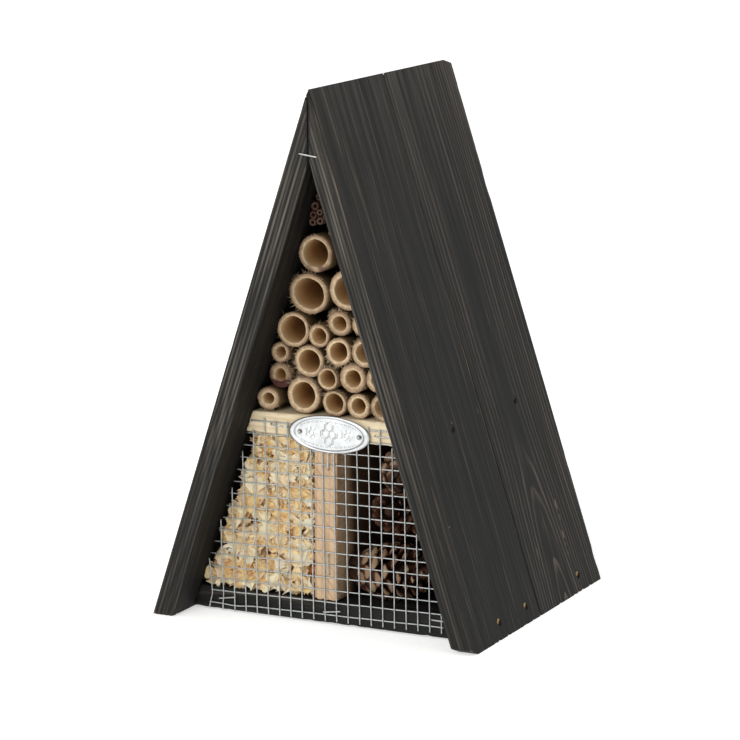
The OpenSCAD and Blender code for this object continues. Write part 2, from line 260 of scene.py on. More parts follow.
# %% Stained softwood
def stained_softwood(name, dark, mid, pale, tan, ring_mm=2.8, ring_share=0.2):
    """Planed softwood under a thin charcoal stain; ring_mm is the spacing of its growth rings
    and ring_share how strongly they show."""
    material = fresh(name)
    grain = add(material, "ShaderNodeAttribute", attribute_name="grain")
    ring = add(material, "ShaderNodeAttribute", attribute_name="ring")
    wear_and_shade = add(material, "ShaderNodeAttribute", attribute_name="wear_and_shade")
    # Rings wander gently along the board: about one wave in 90 mm of length
    slow = add(material, "ShaderNodeMapping", {"Vector": grain.outputs["Vector"], "Scale": (11, 60, 60)})
    wander = add(material, "ShaderNodeTexNoise", {"Vector": slow, "Scale": 1.0, "Detail": 2.0})
    bend = add(material, "ShaderNodeMath", {0: wander, 1: 1.4}, operation="MULTIPLY")
    count = add(material, "ShaderNodeMath", {0: ring.outputs["Fac"], 1: 1 / ring_mm}, operation="MULTIPLY")
    place = add(material, "ShaderNodeMath", {0: count, 1: bend}, operation="ADD")
    # Each ring goes slowly from soft early wood to a sharp late-wood line
    within = add(material, "ShaderNodeMath", {0: place}, operation="FRACT")
    late = add(material, "ShaderNodeValToRGB", {"Fac": within},
               stops=[(0.0, 0.35), (0.08, 0.0), (0.55, 0.12), (0.88, 0.9), (0.97, 1.0), (1.0, 0.35)])
    # Rings differ in strength from one to the next
    whole = add(material, "ShaderNodeMath", {0: place}, operation="FLOOR")
    odds = add(material, "ShaderNodeTexWhiteNoise", {"W": whole}, noise_dimensions="1D")
    strength = add(material, "ShaderNodeMapRange", {"Value": odds, "To Min": 0.15, "To Max": 1.0})
    line = add(material, "ShaderNodeMath", {0: late, 1: strength}, operation="MULTIPLY")
    # Fibres: streaks about 0.5 mm across and 25 mm long
    fine = add(material, "ShaderNodeMapping", {"Vector": grain.outputs["Vector"], "Scale": (40, 2000, 2000)})
    fibre = add(material, "ShaderNodeTexNoise", {"Vector": fine, "Scale": 1.0, "Detail": 3.0, "Roughness": 0.6})
    # Brushed stain: soft streaks from 5 mm down to 1 mm across and 120 mm long
    broad = add(material, "ShaderNodeMapping", {"Vector": grain.outputs["Vector"], "Scale": (8, 190, 190)})
    brushed = add(material, "ShaderNodeTexNoise", {"Vector": broad, "Scale": 1.0, "Detail": 4.0, "Roughness": 0.62})
    fibre_part = add(material, "ShaderNodeMath", {0: fibre, 1: 0.42}, operation="MULTIPLY")
    quiet = add(material, "ShaderNodeAttribute", attribute_name="quiet")
    loud = add(material, "ShaderNodeMapRange", {"Value": quiet.outputs["Fac"], "To Min": ring_share, "To Max": 0.0})
    line_part = add(material, "ShaderNodeMath", {0: line, 1: loud}, operation="MULTIPLY")
    some = add(material, "ShaderNodeMath", {0: fibre_part, 1: line_part}, operation="ADD")
    tone = add(material, "ShaderNodeMath", {0: brushed, 1: 0.55, 2: some}, operation="MULTIPLY_ADD")
    stain = add(material, "ShaderNodeValToRGB", {"Fac": tone},
                stops=[(0.38, dark), (0.58, mid), (0.9, pale)])
    # Long scuffs where the stain is thin, and edges rubbed through to tan along the fibres
    long_way = add(material, "ShaderNodeMapping", {"Vector": grain.outputs["Vector"], "Scale": (16, 330, 330),
                                                   "Location": (3.0, 1.7, 0.4)})
    scuffed = add(material, "ShaderNodeTexNoise", {"Vector": long_way, "Scale": 1.0, "Detail": 3.0})
    scuff = add(material, "ShaderNodeMapRange", {"Value": scuffed, "From Min": 0.66, "From Max": 0.8,
                                                 "To Max": 0.4})
    rubbed = add(material, "ShaderNodeMath", {0: wear_and_shade.outputs["Fac"], 1: fibre}, operation="MULTIPLY")
    bare = add(material, "ShaderNodeMapRange", {"Value": rubbed, "From Min": 0.3, "From Max": 0.55})
    worn = add(material, "ShaderNodeMath", {0: bare, 1: scuff}, operation="MAXIMUM")
    # The proud rings of a sawn edge are polished grey, where the polish attribute says so
    polish = add(material, "ShaderNodeAttribute", attribute_name="polish")
    gleam = add(material, "ShaderNodeMath", {0: polish.outputs["Fac"], 1: fibre}, operation="MULTIPLY")
    stain = add(material, "ShaderNodeMix", {"Factor": gleam, 6: stain, 7: linear("#8b8479")}, data_type="RGBA")
    colour = add(material, "ShaderNodeMix", {"Factor": worn, 6: stain.outputs[2], 7: linear(tan)}, data_type="RGBA")
    # Stain pools black round nails, in splits and in dents, where wear is painted below zero;
    # painted shade inside the house and towards its back goes black through the same mix
    stain_and_shade_share = add(material, "ShaderNodeMath", {0: wear_and_shade.outputs["Fac"], 1: -1.0}, operation="MULTIPLY", use_clamp=True)
    pooled_stain_and_shade = add(material, "ShaderNodeMix", {"Factor": stain_and_shade_share, 6: colour.outputs[2], 7: linear("#0b0a09")},
                 data_type="RGBA")
    relief = add(material, "ShaderNodeMath", {0: line_part, 1: fibre_part}, operation="ADD")
    bump = add(material, "ShaderNodeBump", {"Height": relief, "Strength": 0.5, "Distance": 0.35 * MM})
    rough = add(material, "ShaderNodeMapRange", {"Value": tone, "To Min": 0.85, "To Max": 0.6})
    surface = add(material, "ShaderNodeBsdfPrincipled",
                  {"Base Color": pooled_stain_and_shade.outputs[2], "Roughness": rough, "Normal": bump, "IOR": 1.5,
                   "Specular IOR Level": 0.25})
    add(material, "ShaderNodeOutputMaterial", {"Surface": surface})
    return material


STAIN_COLOURS = ("#0d0d0c", "#1b1a18", "#5b5044", "#84705a")
charcoal_board = stained_softwood("charcoal_stained_softwood", *STAIN_COLOURS)
arched_board = stained_softwood("charcoal_stained_arched_softwood", *STAIN_COLOURS, ring_share=0.4)
# A darker copy of the stain for the back panel, deep in the room: painted shade
shaded_stain_board = stained_softwood("shade_darkened_stained_softwood", "#0c0b0a", "#12100f", "#241f1a", "#3d3227")


# %% Wood grain for a board
def wood_grain(piece, local, pith, slant, wear_and_shade=0.0, knots=()):
    """Paints a board's grain: local is each point along, across and into it, in millimetres.
    slant is how fast the pith drifts across and inward along the board. Each knot is a place
    along and across, a radius and how far it pushes the rings aside."""
    along, across, inward = local.T
    # The pith dives away near the foot and runs straight further up, so only a few arches close
    dive = 75 - 6 * np.log1p(np.exp(np.clip((75 - along) / 6, -40, 40)))
    ring = np.hypot(across - pith[0] - slant[0] * along, inward - pith[1] - slant[1] * dive)
    for place, over, radius, push in knots:
        near = ((along - place) / (2.6 * radius)) ** 2 + ((across - over) / radius) ** 2
        ring = ring + push * np.exp(-near)
    # Straight over the pith the rings are too wide to read as lines, so they go quiet there
    off_pith = across - pith[0] - slant[0] * along
    paint(piece, "quiet", np.clip((along - 55) / 35, 0, 1) * np.exp(-(off_pith / 11) ** 2))
    paint(piece, "ring", ring)
    paint(piece, "grain", local * MM)
    # Besides real wear, this also carries painted shade inside the house, as the boards set it
    paint(piece, "wear_and_shade", np.clip(wear_and_shade, -1, 1) * np.ones(len(local)))


# %% [markdown]
# ### Shaping a worn board
# A CAD board has perfect flat faces and sharp edges. A real one has softened arrises, dents,
# chipped feet and a slight wave. Subdividing its few long faces by hand is awkward around the
# nail holes, so each board is laid flat and remeshed into small even cells instead. The cells
# round every edge by about half a millimetre by themselves, and they carry the dents.


# %% Lay a board flat and remesh it
def flat_copy(node, to_flat, cell_mm):
    """Points and faces of a CAD node, moved by to_flat (millimetres) and remeshed evenly."""
    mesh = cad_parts[node].data.copy()
    mesh.transform(to_flat @ Matrix.Scale(1 / MM, 4))
    solid = bmesh.new()
    solid.from_mesh(mesh)
    bmesh.ops.remove_doubles(solid, verts=solid.verts, dist=0.001)
    solid.to_mesh(mesh)
    solid.free()
    worker = bpy.data.objects.new("remesh_worker", mesh)
    bpy.context.scene.collection.objects.link(worker)
    cells = worker.modifiers.new("cells", "REMESH")
    cells.mode = "VOXEL"
    cells.voxel_size = cell_mm
    done = worker.evaluated_get(bpy.context.evaluated_depsgraph_get()).to_mesh()
    points = np.zeros(len(done.vertices) * 3, np.float32)
    done.vertices.foreach_get("co", points)
    faces = [tuple(f.vertices) for f in done.polygons]
    bpy.data.objects.remove(worker)
    bpy.data.meshes.remove(mesh)
    return points.reshape(-1, 3).astype(float), faces


def speckle(points, scale, seed=0.0):
    """Smooth noise from -1 to 1 at each point; scale stretches it along each axis."""
    shifted = points * scale + seed
    return np.array([noise.noise(Vector(p)) for p in shifted])


def side_matrix(side):
    """From the room to a side board laid flat: x along it from the foot, y across, z into it."""
    foot = Vector((side * HOUSE_H * math.tan(LEAN), 0, 0))
    rows = Matrix((
        (-side * math.sin(LEAN), 0, math.cos(LEAN)),
        (0, 1, 0),
        (-side * math.cos(LEAN), 0, -math.sin(LEAN)),
    ))
    return rows.to_4x4() @ Matrix.Translation(-foot)


# %% Side boards
BOARD_CELL = 0.8
# Each side board: its CAD node, side, pith across and below the face, slant, knots and seed
SIDE_BOARDS = [
    ("left_front_board", -1, (20.0, 34.0), (0.03, 0.0), [(120, -81, 12, 1.4)], 3.1),
    ("left_rear_board", -1, (60.0, 75.0), (-0.02, 0.0), [], 7.7),
    ("right_front_board", 1, (26.0, 42.0), (0.015, -0.03), [(172, -84, 13, 1.8)], 1.9),
    ("right_rear_board", 1, (34.0, 6.0), (-0.02, 0.15), [(236, 70, 7, 1.2)], 5.3),
]
# Nails through the sides, as (distance up the slope, across), whose holes hold pooled stain
NAIL_ROWS = [(8.4, -45.0), (8.4, -12.5), (8.4, 55.5), (105.1, -35.0), (105.1, 41.0)]
# Scrapes to bare wood on the right side, as (distance up the slope, across, half length, half width)
SCRAPES = [(47, 53.8, 3.4, 0.8), (40, 54.1, 1.6, 0.6), (31, 52.1, 2.8, 0.8), (26, 51.6, 1.4, 0.6), (21, 51.4, 1.6, 0.6),
           (29, 17.4, 4.0, 0.6), (107.5, -34, 1.4, 0.6), (108, -2.9, 1.6, 0.6), (62, -67.2, 0.9, 0.5)]


def side_board(node, side, pith, slant, knots, seed):
    """A side board with waves, softened and chipped edges and its wood grain."""
    to_flat = side_matrix(side)
    points, faces = flat_copy(node, to_flat, BOARD_CELL)
    lowest, highest = points.min(0), points.max(0)
    local = points.copy()
    # How near a point is to the board's long edges and to its foot
    rim = np.minimum(points[:, 1] - lowest[1], highest[1] - points[:, 1])
    skin = np.minimum(points[:, 2] - lowest[2], highest[2] - points[:, 2])
    foot = points[:, 0] - points[:, 2] * math.tan(LEAN)
    arris = np.maximum(rim, skin)
    foot_arris = np.maximum(foot, skin)
    chips = np.clip(speckle(points, (0.05, 0.25, 0.25), seed) - 0.3, 0, 1)
    splinters = np.clip(speckle(points, (0.12, 0.45, 0.3), seed + 9) - 0.15, 0, 1)
    near_rim = np.exp(-arris / 0.9)
    near_foot = np.exp(-foot_arris / 1.3)
    wave = 0.08 * speckle(points, (0.012, 0.05, 0.0), seed + 3)
    centre = (lowest + highest) / 2
    pull = np.sign(centre - points)
    points[:, 1] += pull[:, 1] * near_rim * chips * 1.6
    points[:, 2] += pull[:, 2] * near_rim * chips * 1.3 + np.where(skin < 0.6, wave, 0)
    points[:, 0] += near_foot * splinters * 1.3
    points[:, 2] += pull[:, 2] * near_foot * splinters * 0.8
    # Two corners took knocks: the front foot is rounded and the rear end of the ridge is chipped
    if node == "right_front_board":
        points[:, 0] += 0.6 * np.clip(4.5 - foot - 0.8 * (points[:, 1] - lowest[1]), 0, 4.5)
    if node == "right_rear_board":
        points[:, 0] -= 0.5 * np.clip(5 - 0.6 * (highest[1] - points[:, 1]) - (highest[0] - points[:, 0]), 0, 5)
    # The seam between the two boards has opened a little in its lower half
    lower_half = np.clip((150 - local[:, 0]) / 60, 0.0, 1)
    if lowest[1] > FRONT_Y + 1:
        points[:, 1] += 0.35 * lower_half * np.exp(-(local[:, 1] - lowest[1]) / 0.6)
    room = to_flat.inverted()
    turned = points @ np.array(room.to_3x3()).T + np.array(room.translation)
    piece = build(node + "_worn", turned, faces, [arched_board if node == "right_rear_board" else charcoal_board])
    piece.data.set_sharp_from_angle(angle=math.radians(38))
    inner = (local[:, 2] > centre[2]) & (skin < 1)
    wear_and_shade = 0.7 * near_rim + 0.6 * near_foot + 0.25 * np.clip(speckle(local, (0.01, 0.12, 0.1), seed + 5), 0, 1)
    # On the sawn front edge the rings stand as ridges about 2 mm apart, and are rubbed pale
    polish = np.zeros(len(local))
    if lowest[1] < FRONT_Y + 1:
        drift = 2.6 * speckle(local, (0.011, 0.0, 0.05), seed + 20)
        streaks = np.clip(np.sin(math.pi * local[:, 2] + drift * 2), 0, 1) ** 1.5
        streaks *= np.clip(0.75 + 0.9 * speckle(local, (0.02, 0.0, 0.3), seed + 24), 0, 1)
        upper = 0.4 + 0.6 * np.clip((local[:, 0] - 60) / 100, 0, 1)
        polish = upper * streaks * np.exp(-(local[:, 1] - lowest[1]) / 0.7)
    # Weather has greyed and browned the outer face in streaks towards the ridge
    ridge_way = np.exp(-(highest[0] - local[:, 0]) / 50)
    weathered = ridge_way * np.clip(speckle(local, (0.014, 0.35, 0.1), seed + 6) + 0.3, 0, 1)
    polish = np.maximum(polish, 0.4 * weathered)
    wear_and_shade += 0.6 * weathered
    # Inside, wear is weaker, and the faces are painted black away from the front: painted shade
    wear_and_shade = np.where(inner, wear_and_shade * 0.3 - 0.75 * np.clip((local[:, 1] - FRONT_Y - 6) / 30, 0, 1), wear_and_shade)
    # Two boards meet edge to edge at the seam, and at the mitre under the ridge: stain pools there
    if lowest[1] > FRONT_Y + 1:
        wear_and_shade -= 2.2 * (lower_half + 0.2) * np.exp(-(local[:, 1] - lowest[1]) / 0.8)
    else:
        wear_and_shade += 0.5 * np.exp(-(highest[1] - local[:, 1]) / 1.2) * np.clip(1 - np.abs(local[:, 0] - 120) / 70, 0, 1)
    mitre = np.abs(turned[:, 0]) + 0.5 * speckle(local, (0.6, 0.4, 0.4), seed + 30)
    wear_and_shade -= 1.8 * np.exp(-(np.clip(mitre, 0, None) / 0.9) ** 2) * (rim < 1)
    # Pooled stain round the nails, and a short split from the front nail down to the foot
    outer = local[:, 2] < 2.5
    for up, over in NAIL_ROWS:
        reach = np.hypot(local[:, 0] - up, local[:, 1] - over)
        wear_and_shade = np.where(outer & (reach < 5), wear_and_shade - 1.8 * np.exp(-(reach / 2.3) ** 4), wear_and_shade)
    if side > 0:
        for up, over, half_long, half_wide in SCRAPES:
            off = ((local[:, 0] - up) / half_long) ** 2 + ((local[:, 1] - over) / half_wide) ** 2
            wear_and_shade = np.where(outer & (off < 4), wear_and_shade + 1.4 * np.exp(-off ** 2), wear_and_shade)
    if node == "right_front_board":
        split_at = -44.6 + 0.8 * speckle(local, (0.3, 0.0, 0.0), 2.0)
        depth = np.exp(-((local[:, 1] - split_at) / 0.5) ** 2) * (local[:, 0] < 8) * outer
        wear_and_shade -= 2.5 * depth
    wood_grain(piece, local, pith, slant, wear_and_shade, knots)
    paint(piece, "polish", polish)
    keep(piece, "stained_board", node)
    return piece


for settings in SIDE_BOARDS:
    side_board(*settings)

# %% [markdown]
# ## The level boards
# The base and the back are stained like the sides, but they sit in shade and look browner: the back
# takes a darker copy of the stain and the base is painted darker towards the back, both painted shade.
# The shelf is bare planed pine: creamy early wood with faint tan rings. The divider was left
# rough from the saw, so shallow diagonal kerfs cross its upright grain and its lower end has
# torn fibres. It is painted dark brown towards the back of the room, which is painted shade.


# %% Bare pine
def bare_pine(name, early, late, shade, ring_mm, saw_mm=0.0):
    """Unstained pine; saw_mm is the spacing of the saw's marks on rough wood."""
    material = fresh(name)
    grain = add(material, "ShaderNodeAttribute", attribute_name="grain")
    ring = add(material, "ShaderNodeAttribute", attribute_name="ring")
    wear_and_shade = add(material, "ShaderNodeAttribute", attribute_name="wear_and_shade")
    slow = add(material, "ShaderNodeMapping", {"Vector": grain.outputs["Vector"], "Scale": (14, 60, 60)})
    wander = add(material, "ShaderNodeTexNoise", {"Vector": slow, "Scale": 1.0, "Detail": 2.0})
    count = add(material, "ShaderNodeMath", {0: ring.outputs["Fac"], 1: 1 / ring_mm}, operation="MULTIPLY")
    place = add(material, "ShaderNodeMath", {0: count, 1: wander}, operation="ADD")
    within = add(material, "ShaderNodeMath", {0: place}, operation="FRACT")
    line = add(material, "ShaderNodeValToRGB", {"Fac": within},
               stops=[(0.0, 0.3), (0.1, 0.0), (0.6, 0.1), (0.92, 0.8), (1.0, 0.3)])
    fine = add(material, "ShaderNodeMapping", {"Vector": grain.outputs["Vector"], "Scale": (60, 1800, 1800)})
    fibre = add(material, "ShaderNodeTexNoise", {"Vector": fine, "Scale": 1.0, "Detail": 3.0})
    fibre_part = add(material, "ShaderNodeMath", {0: fibre, 1: 0.5}, operation="MULTIPLY")
    tone = add(material, "ShaderNodeMath", {0: line, 1: 0.4, 2: fibre_part}, operation="MULTIPLY_ADD")
    wood = add(material, "ShaderNodeValToRGB", {"Fac": tone}, stops=[(0.12, early), (0.75, late)])
    # Handling and dust darken the edges and patches a little; painted shade towards the back adds to it through wear
    grime_and_shade = add(material, "ShaderNodeMath", {0: wear_and_shade.outputs["Fac"], 1: 0.6}, operation="MULTIPLY")
    colour = add(material, "ShaderNodeMix", {"Factor": grime_and_shade, 6: wood, 7: linear(shade)}, data_type="RGBA")
    # Painted shade: the colour goes dark brown towards the dark back of the room
    deep = add(material, "ShaderNodeMapRange", {"Value": wear_and_shade.outputs["Fac"], "From Min": 0.6, "From Max": 1.0,
                                                "To Max": 0.82})
    colour = add(material, "ShaderNodeMix", {"Factor": deep, 6: colour.outputs[2], 7: linear("#2a1c12")},
                 data_type="RGBA")
    height = fibre_part
    if saw_mm:
        # The saw leaves shallow uneven scratches at a slant to the grain
        turned = add(material, "ShaderNodeMapping", {"Vector": grain.outputs["Vector"], "Rotation": (0, 0, 0.7)})
        drawn = add(material, "ShaderNodeMapping", {"Vector": turned, "Scale": (90, 1 / (saw_mm * MM), 300)})
        marks = add(material, "ShaderNodeTexNoise", {"Vector": drawn, "Scale": 1.0, "Detail": 2.0})
        height = add(material, "ShaderNodeMath", {0: marks, 1: 1.2, 2: fibre_part}, operation="MULTIPLY_ADD")
        tint = add(material, "ShaderNodeMapRange", {"Value": marks, "From Min": 0.52, "From Max": 0.72,
                                                    "To Max": 0.55})
        colour = add(material, "ShaderNodeMix", {"Factor": tint, 6: colour.outputs[2], 7: linear(shade)},
                     data_type="RGBA")
    bump = add(material, "ShaderNodeBump", {"Height": height, "Strength": 0.5, "Distance": 0.3 * MM})
    surface = add(material, "ShaderNodeBsdfPrincipled",
                  {"Base Color": colour.outputs[2], "Roughness": 0.7, "Normal": bump, "IOR": 1.5,
                   "Specular IOR Level": 0.3})
    add(material, "ShaderNodeOutputMaterial", {"Surface": surface})
    return material


planed_pine = bare_pine("planed_bare_pine", "#eadcbd", "#cfb68b", "#a98b62", 2.4)
sawn_pine = bare_pine("rough_sawn_pine", "#cfb492", "#b08c6c", "#7a4f30", 3.6, saw_mm=0.7)


# %% Level boards
def inside_board(node, material, slot, order, pith, cell_mm, reshape=None, painted_back_shade=0.0):
    """A board inside the house; order names the axes along, across and into its wood, and
    the last argument is painted shade: how much darker it gets towards the back."""
    points, faces = flat_copy(node, Matrix.Identity(4), cell_mm)
    local = points[:, order].copy()
    lowest, highest = points.min(0), points.max(0)
    edge = np.sort(np.minimum(points - lowest, highest - points), axis=1)[:, 1]
    near_edge = np.exp(-edge / 0.9)
    nicks = np.clip(speckle(points, np.array((0.25, 0.25, 0.25)), pith[1]) - 0.1, 0, 1)
    points += np.sign((lowest + highest) / 2 - points) * (near_edge * nicks * 0.9)[:, None]
    if reshape:
        points = reshape(points, lowest, highest)
    piece = build(node + "_worn", points, faces, [material])
    piece.data.set_sharp_from_angle(angle=math.radians(40))
    patches = np.clip(speckle(local, np.array((0.02, 0.1, 0.1)), 4.0), 0, 1)
    wear_and_shade = 0.5 * near_edge * (0.5 + nicks) + 0.35 * patches
    # Painted shade towards the back: below zero it pools black on stained wood, above zero it browns bare pine
    wear_and_shade += painted_back_shade * np.clip((points[:, 1] - lowest[1] - 6) / 26, 0, 1) ** 0.8
    wood_grain(piece, local, pith, (0.02, 0.0), wear_and_shade)
    keep(piece, slot, node)
    return piece


def taper_shelf(points, lowest, highest):
    """The shelf was planed a little thinner towards its left end."""
    share = (points[:, 2] - lowest[2]) / (highest[2] - lowest[2])
    points[:, 2] += share * points[:, 0] * 0.0125
    return points


def tear_divider(points, lowest, highest):
    """Torn fibres at the divider's lower end."""
    near_foot = np.exp(-(points[:, 2] - lowest[2]) / 1.2)
    torn = np.clip(speckle(points, np.array((0.9, 0.35, 0.2)), 2.0) + 0.1, 0, 1)
    points[:, 2] += near_foot * torn * 1.6
    return points


inside_board("base_board", charcoal_board, "stained_inside", [0, 1, 2], (40, 40), 1.0, painted_back_shade=-1.0)
inside_board("back_panel", shaded_stain_board, "stained_inside", [2, 0, 1], (12, 30), 1.2)
inside_board("shelf_board", planed_pine, "pale_pine", [0, 1, 2], (30, 55), 0.8, taper_shelf)
inside_board("divider_board", sawn_pine, "sawn_pine", [2, 0, 1], (-9, -60), 0.8, tear_divider, 1.6)

# %% [markdown]
# ## Bamboo canes
# Each cane is a hollow stem sawn square and tumbled, so its rim is rounded and paler than its
# skin, and torn fibres stand up from some edges. A revolved tube would look turned on a lathe.
# Here each cane is a ring of points carried along a profile, skin, rim, bore and plug, and
# every ring is made slightly oval, wavy and off centre by its own seeded chance.
# Three finishes share one mesh: a satin skin, a fibrous cut end and a bore. The skin and the bore
# are painted darker with depth behind the front, as painted shade, since light hardly reaches there.


# %% Cane finishes
def cut_bamboo(name, stops):
    """Sawn end: pale ground tissue with tiny dark vessel bundles, about 0.45 mm apart."""
    material = fresh(name)
    where = add(material, "ShaderNodeTexCoord")
    outward = add(material, "ShaderNodeAttribute", attribute_name="outward")
    tone = add(material, "ShaderNodeAttribute", attribute_name="tone")
    stain = add(material, "ShaderNodeAttribute", attribute_name="stain")
    bundles = add(material, "ShaderNodeTexVoronoi", {"Vector": where.outputs["Object"], "Scale": 1 / (0.45 * MM)})
    soft = add(material, "ShaderNodeTexNoise", {"Vector": where.outputs["Object"], "Scale": 420.0, "Detail": 4.0})
    dots = add(material, "ShaderNodeMapRange", {"Value": bundles.outputs["Distance"], "From Min": 0.1,
                                                "From Max": 0.55, "To Min": 0.35, "To Max": 0.0})
    across = add(material, "ShaderNodeMath", {0: outward.outputs["Fac"], 1: 0.55, 2: dots}, operation="MULTIPLY_ADD")
    mottled = add(material, "ShaderNodeMath", {0: soft, 1: 0.5, 2: across}, operation="MULTIPLY_ADD")
    aged = add(material, "ShaderNodeMath", {0: tone.outputs["Fac"], 1: 0.3, 2: mottled}, operation="MULTIPLY_ADD")
    wood = add(material, "ShaderNodeValToRGB", {"Fac": aged}, stops=stops)
    colour = add(material, "ShaderNodeMix", {"Factor": stain.outputs["Fac"], 6: wood, 7: linear("#46261f")},
                 data_type="RGBA")
    bump = add(material, "ShaderNodeBump", {"Height": mottled, "Strength": 0.4, "Distance": 0.2 * MM})
    surface = add(material, "ShaderNodeBsdfPrincipled",
                  {"Base Color": colour.outputs[2], "Roughness": 0.75, "Normal": bump, "Specular IOR Level": 0.3})
    add(material, "ShaderNodeOutputMaterial", {"Surface": surface})
    return material


def bamboo_wall(name, stops, rough, attribute):
    """The skin or the bore of a cane, streaked by fibres about 0.4 mm across; painted shade darkens it with depth."""
    material = fresh(name)
    where = add(material, "ShaderNodeTexCoord")
    depth = add(material, "ShaderNodeAttribute", attribute_name=attribute)
    long_way = add(material, "ShaderNodeMapping", {"Vector": where.outputs["Object"], "Scale": (2400, 30, 2400)})
    streak = add(material, "ShaderNodeTexNoise", {"Vector": long_way, "Scale": 1.0, "Detail": 3.0})
    blotch = add(material, "ShaderNodeTexNoise", {"Vector": where.outputs["Object"], "Scale": 160.0, "Detail": 3.0})
    mixed = add(material, "ShaderNodeMath", {0: streak, 1: 0.16, 2: depth.outputs["Fac"]}, operation="MULTIPLY_ADD")
    tone = add(material, "ShaderNodeMath", {0: blotch, 1: 0.22, 2: mixed}, operation="MULTIPLY_ADD")
    wood = add(material, "ShaderNodeValToRGB", {"Fac": tone}, stops=stops)
    bump = add(material, "ShaderNodeBump", {"Height": streak, "Strength": 0.25, "Distance": 0.1 * MM})
    surface = add(material, "ShaderNodeBsdfPrincipled",
                  {"Base Color": wood, "Roughness": rough, "Normal": bump, "Specular IOR Level": 0.4})
    add(material, "ShaderNodeOutputMaterial", {"Surface": surface})
    return material


bamboo_end = cut_bamboo("cut_bamboo_end", [(0.3, "#e0cba6"), (0.6, "#b39878"), (1.0, "#6a5340")])
bamboo_skin = bamboo_wall("bamboo_skin", [(0.1, "#a48a68"), (0.35, "#75603f"), (0.8, "#2c2218")], 0.5, "depth")
bamboo_bore = bamboo_wall("bamboo_bore", [(0.15, "#dcc8a2"), (0.5, "#c9a474"), (1.0, "#a67e50")], 0.75, "depth")
CANE_FINISHES = [bamboo_skin, bamboo_end, bamboo_bore]

# %% Shape of a cane
CANE_AROUND = 72
SKIN, END, BORE = 0, 1, 2


def cane_profile(length, wall, plug_at):
    """Stations from the back of the skin over the rim to the bore's floor.
    Each is (distance behind the front, 0 at the bore to 1 at the skin, finish)."""
    rim = min(0.9, wall * 0.3)
    lip = min(0.7, wall * 0.25)
    stations = [(back, 1.0, SKIN) for back in (length, length * 0.6, 30, 14, 7, 3.5, 2, rim)]
    for turn in (22, 45, 68, 90):
        stations.append((rim * (1 - math.sin(math.radians(turn))),
                         1 - rim / wall * (1 - math.cos(math.radians(turn))), END))
    inner = lip / wall
    stations += [(0.0, 1 - rim / wall - (1 - rim / wall - inner) * s, END) for s in (0.33, 0.66, 1.0)]
    for turn in (30, 60, 90):
        stations.append((lip * (1 - math.cos(math.radians(turn))), inner * (1 - math.sin(math.radians(turn))), END))
    stations += [(back, 0.0, BORE) for back in (1.6, 3, 5, 8, 13, 20, 32, 50, 75, plug_at)]
    return stations


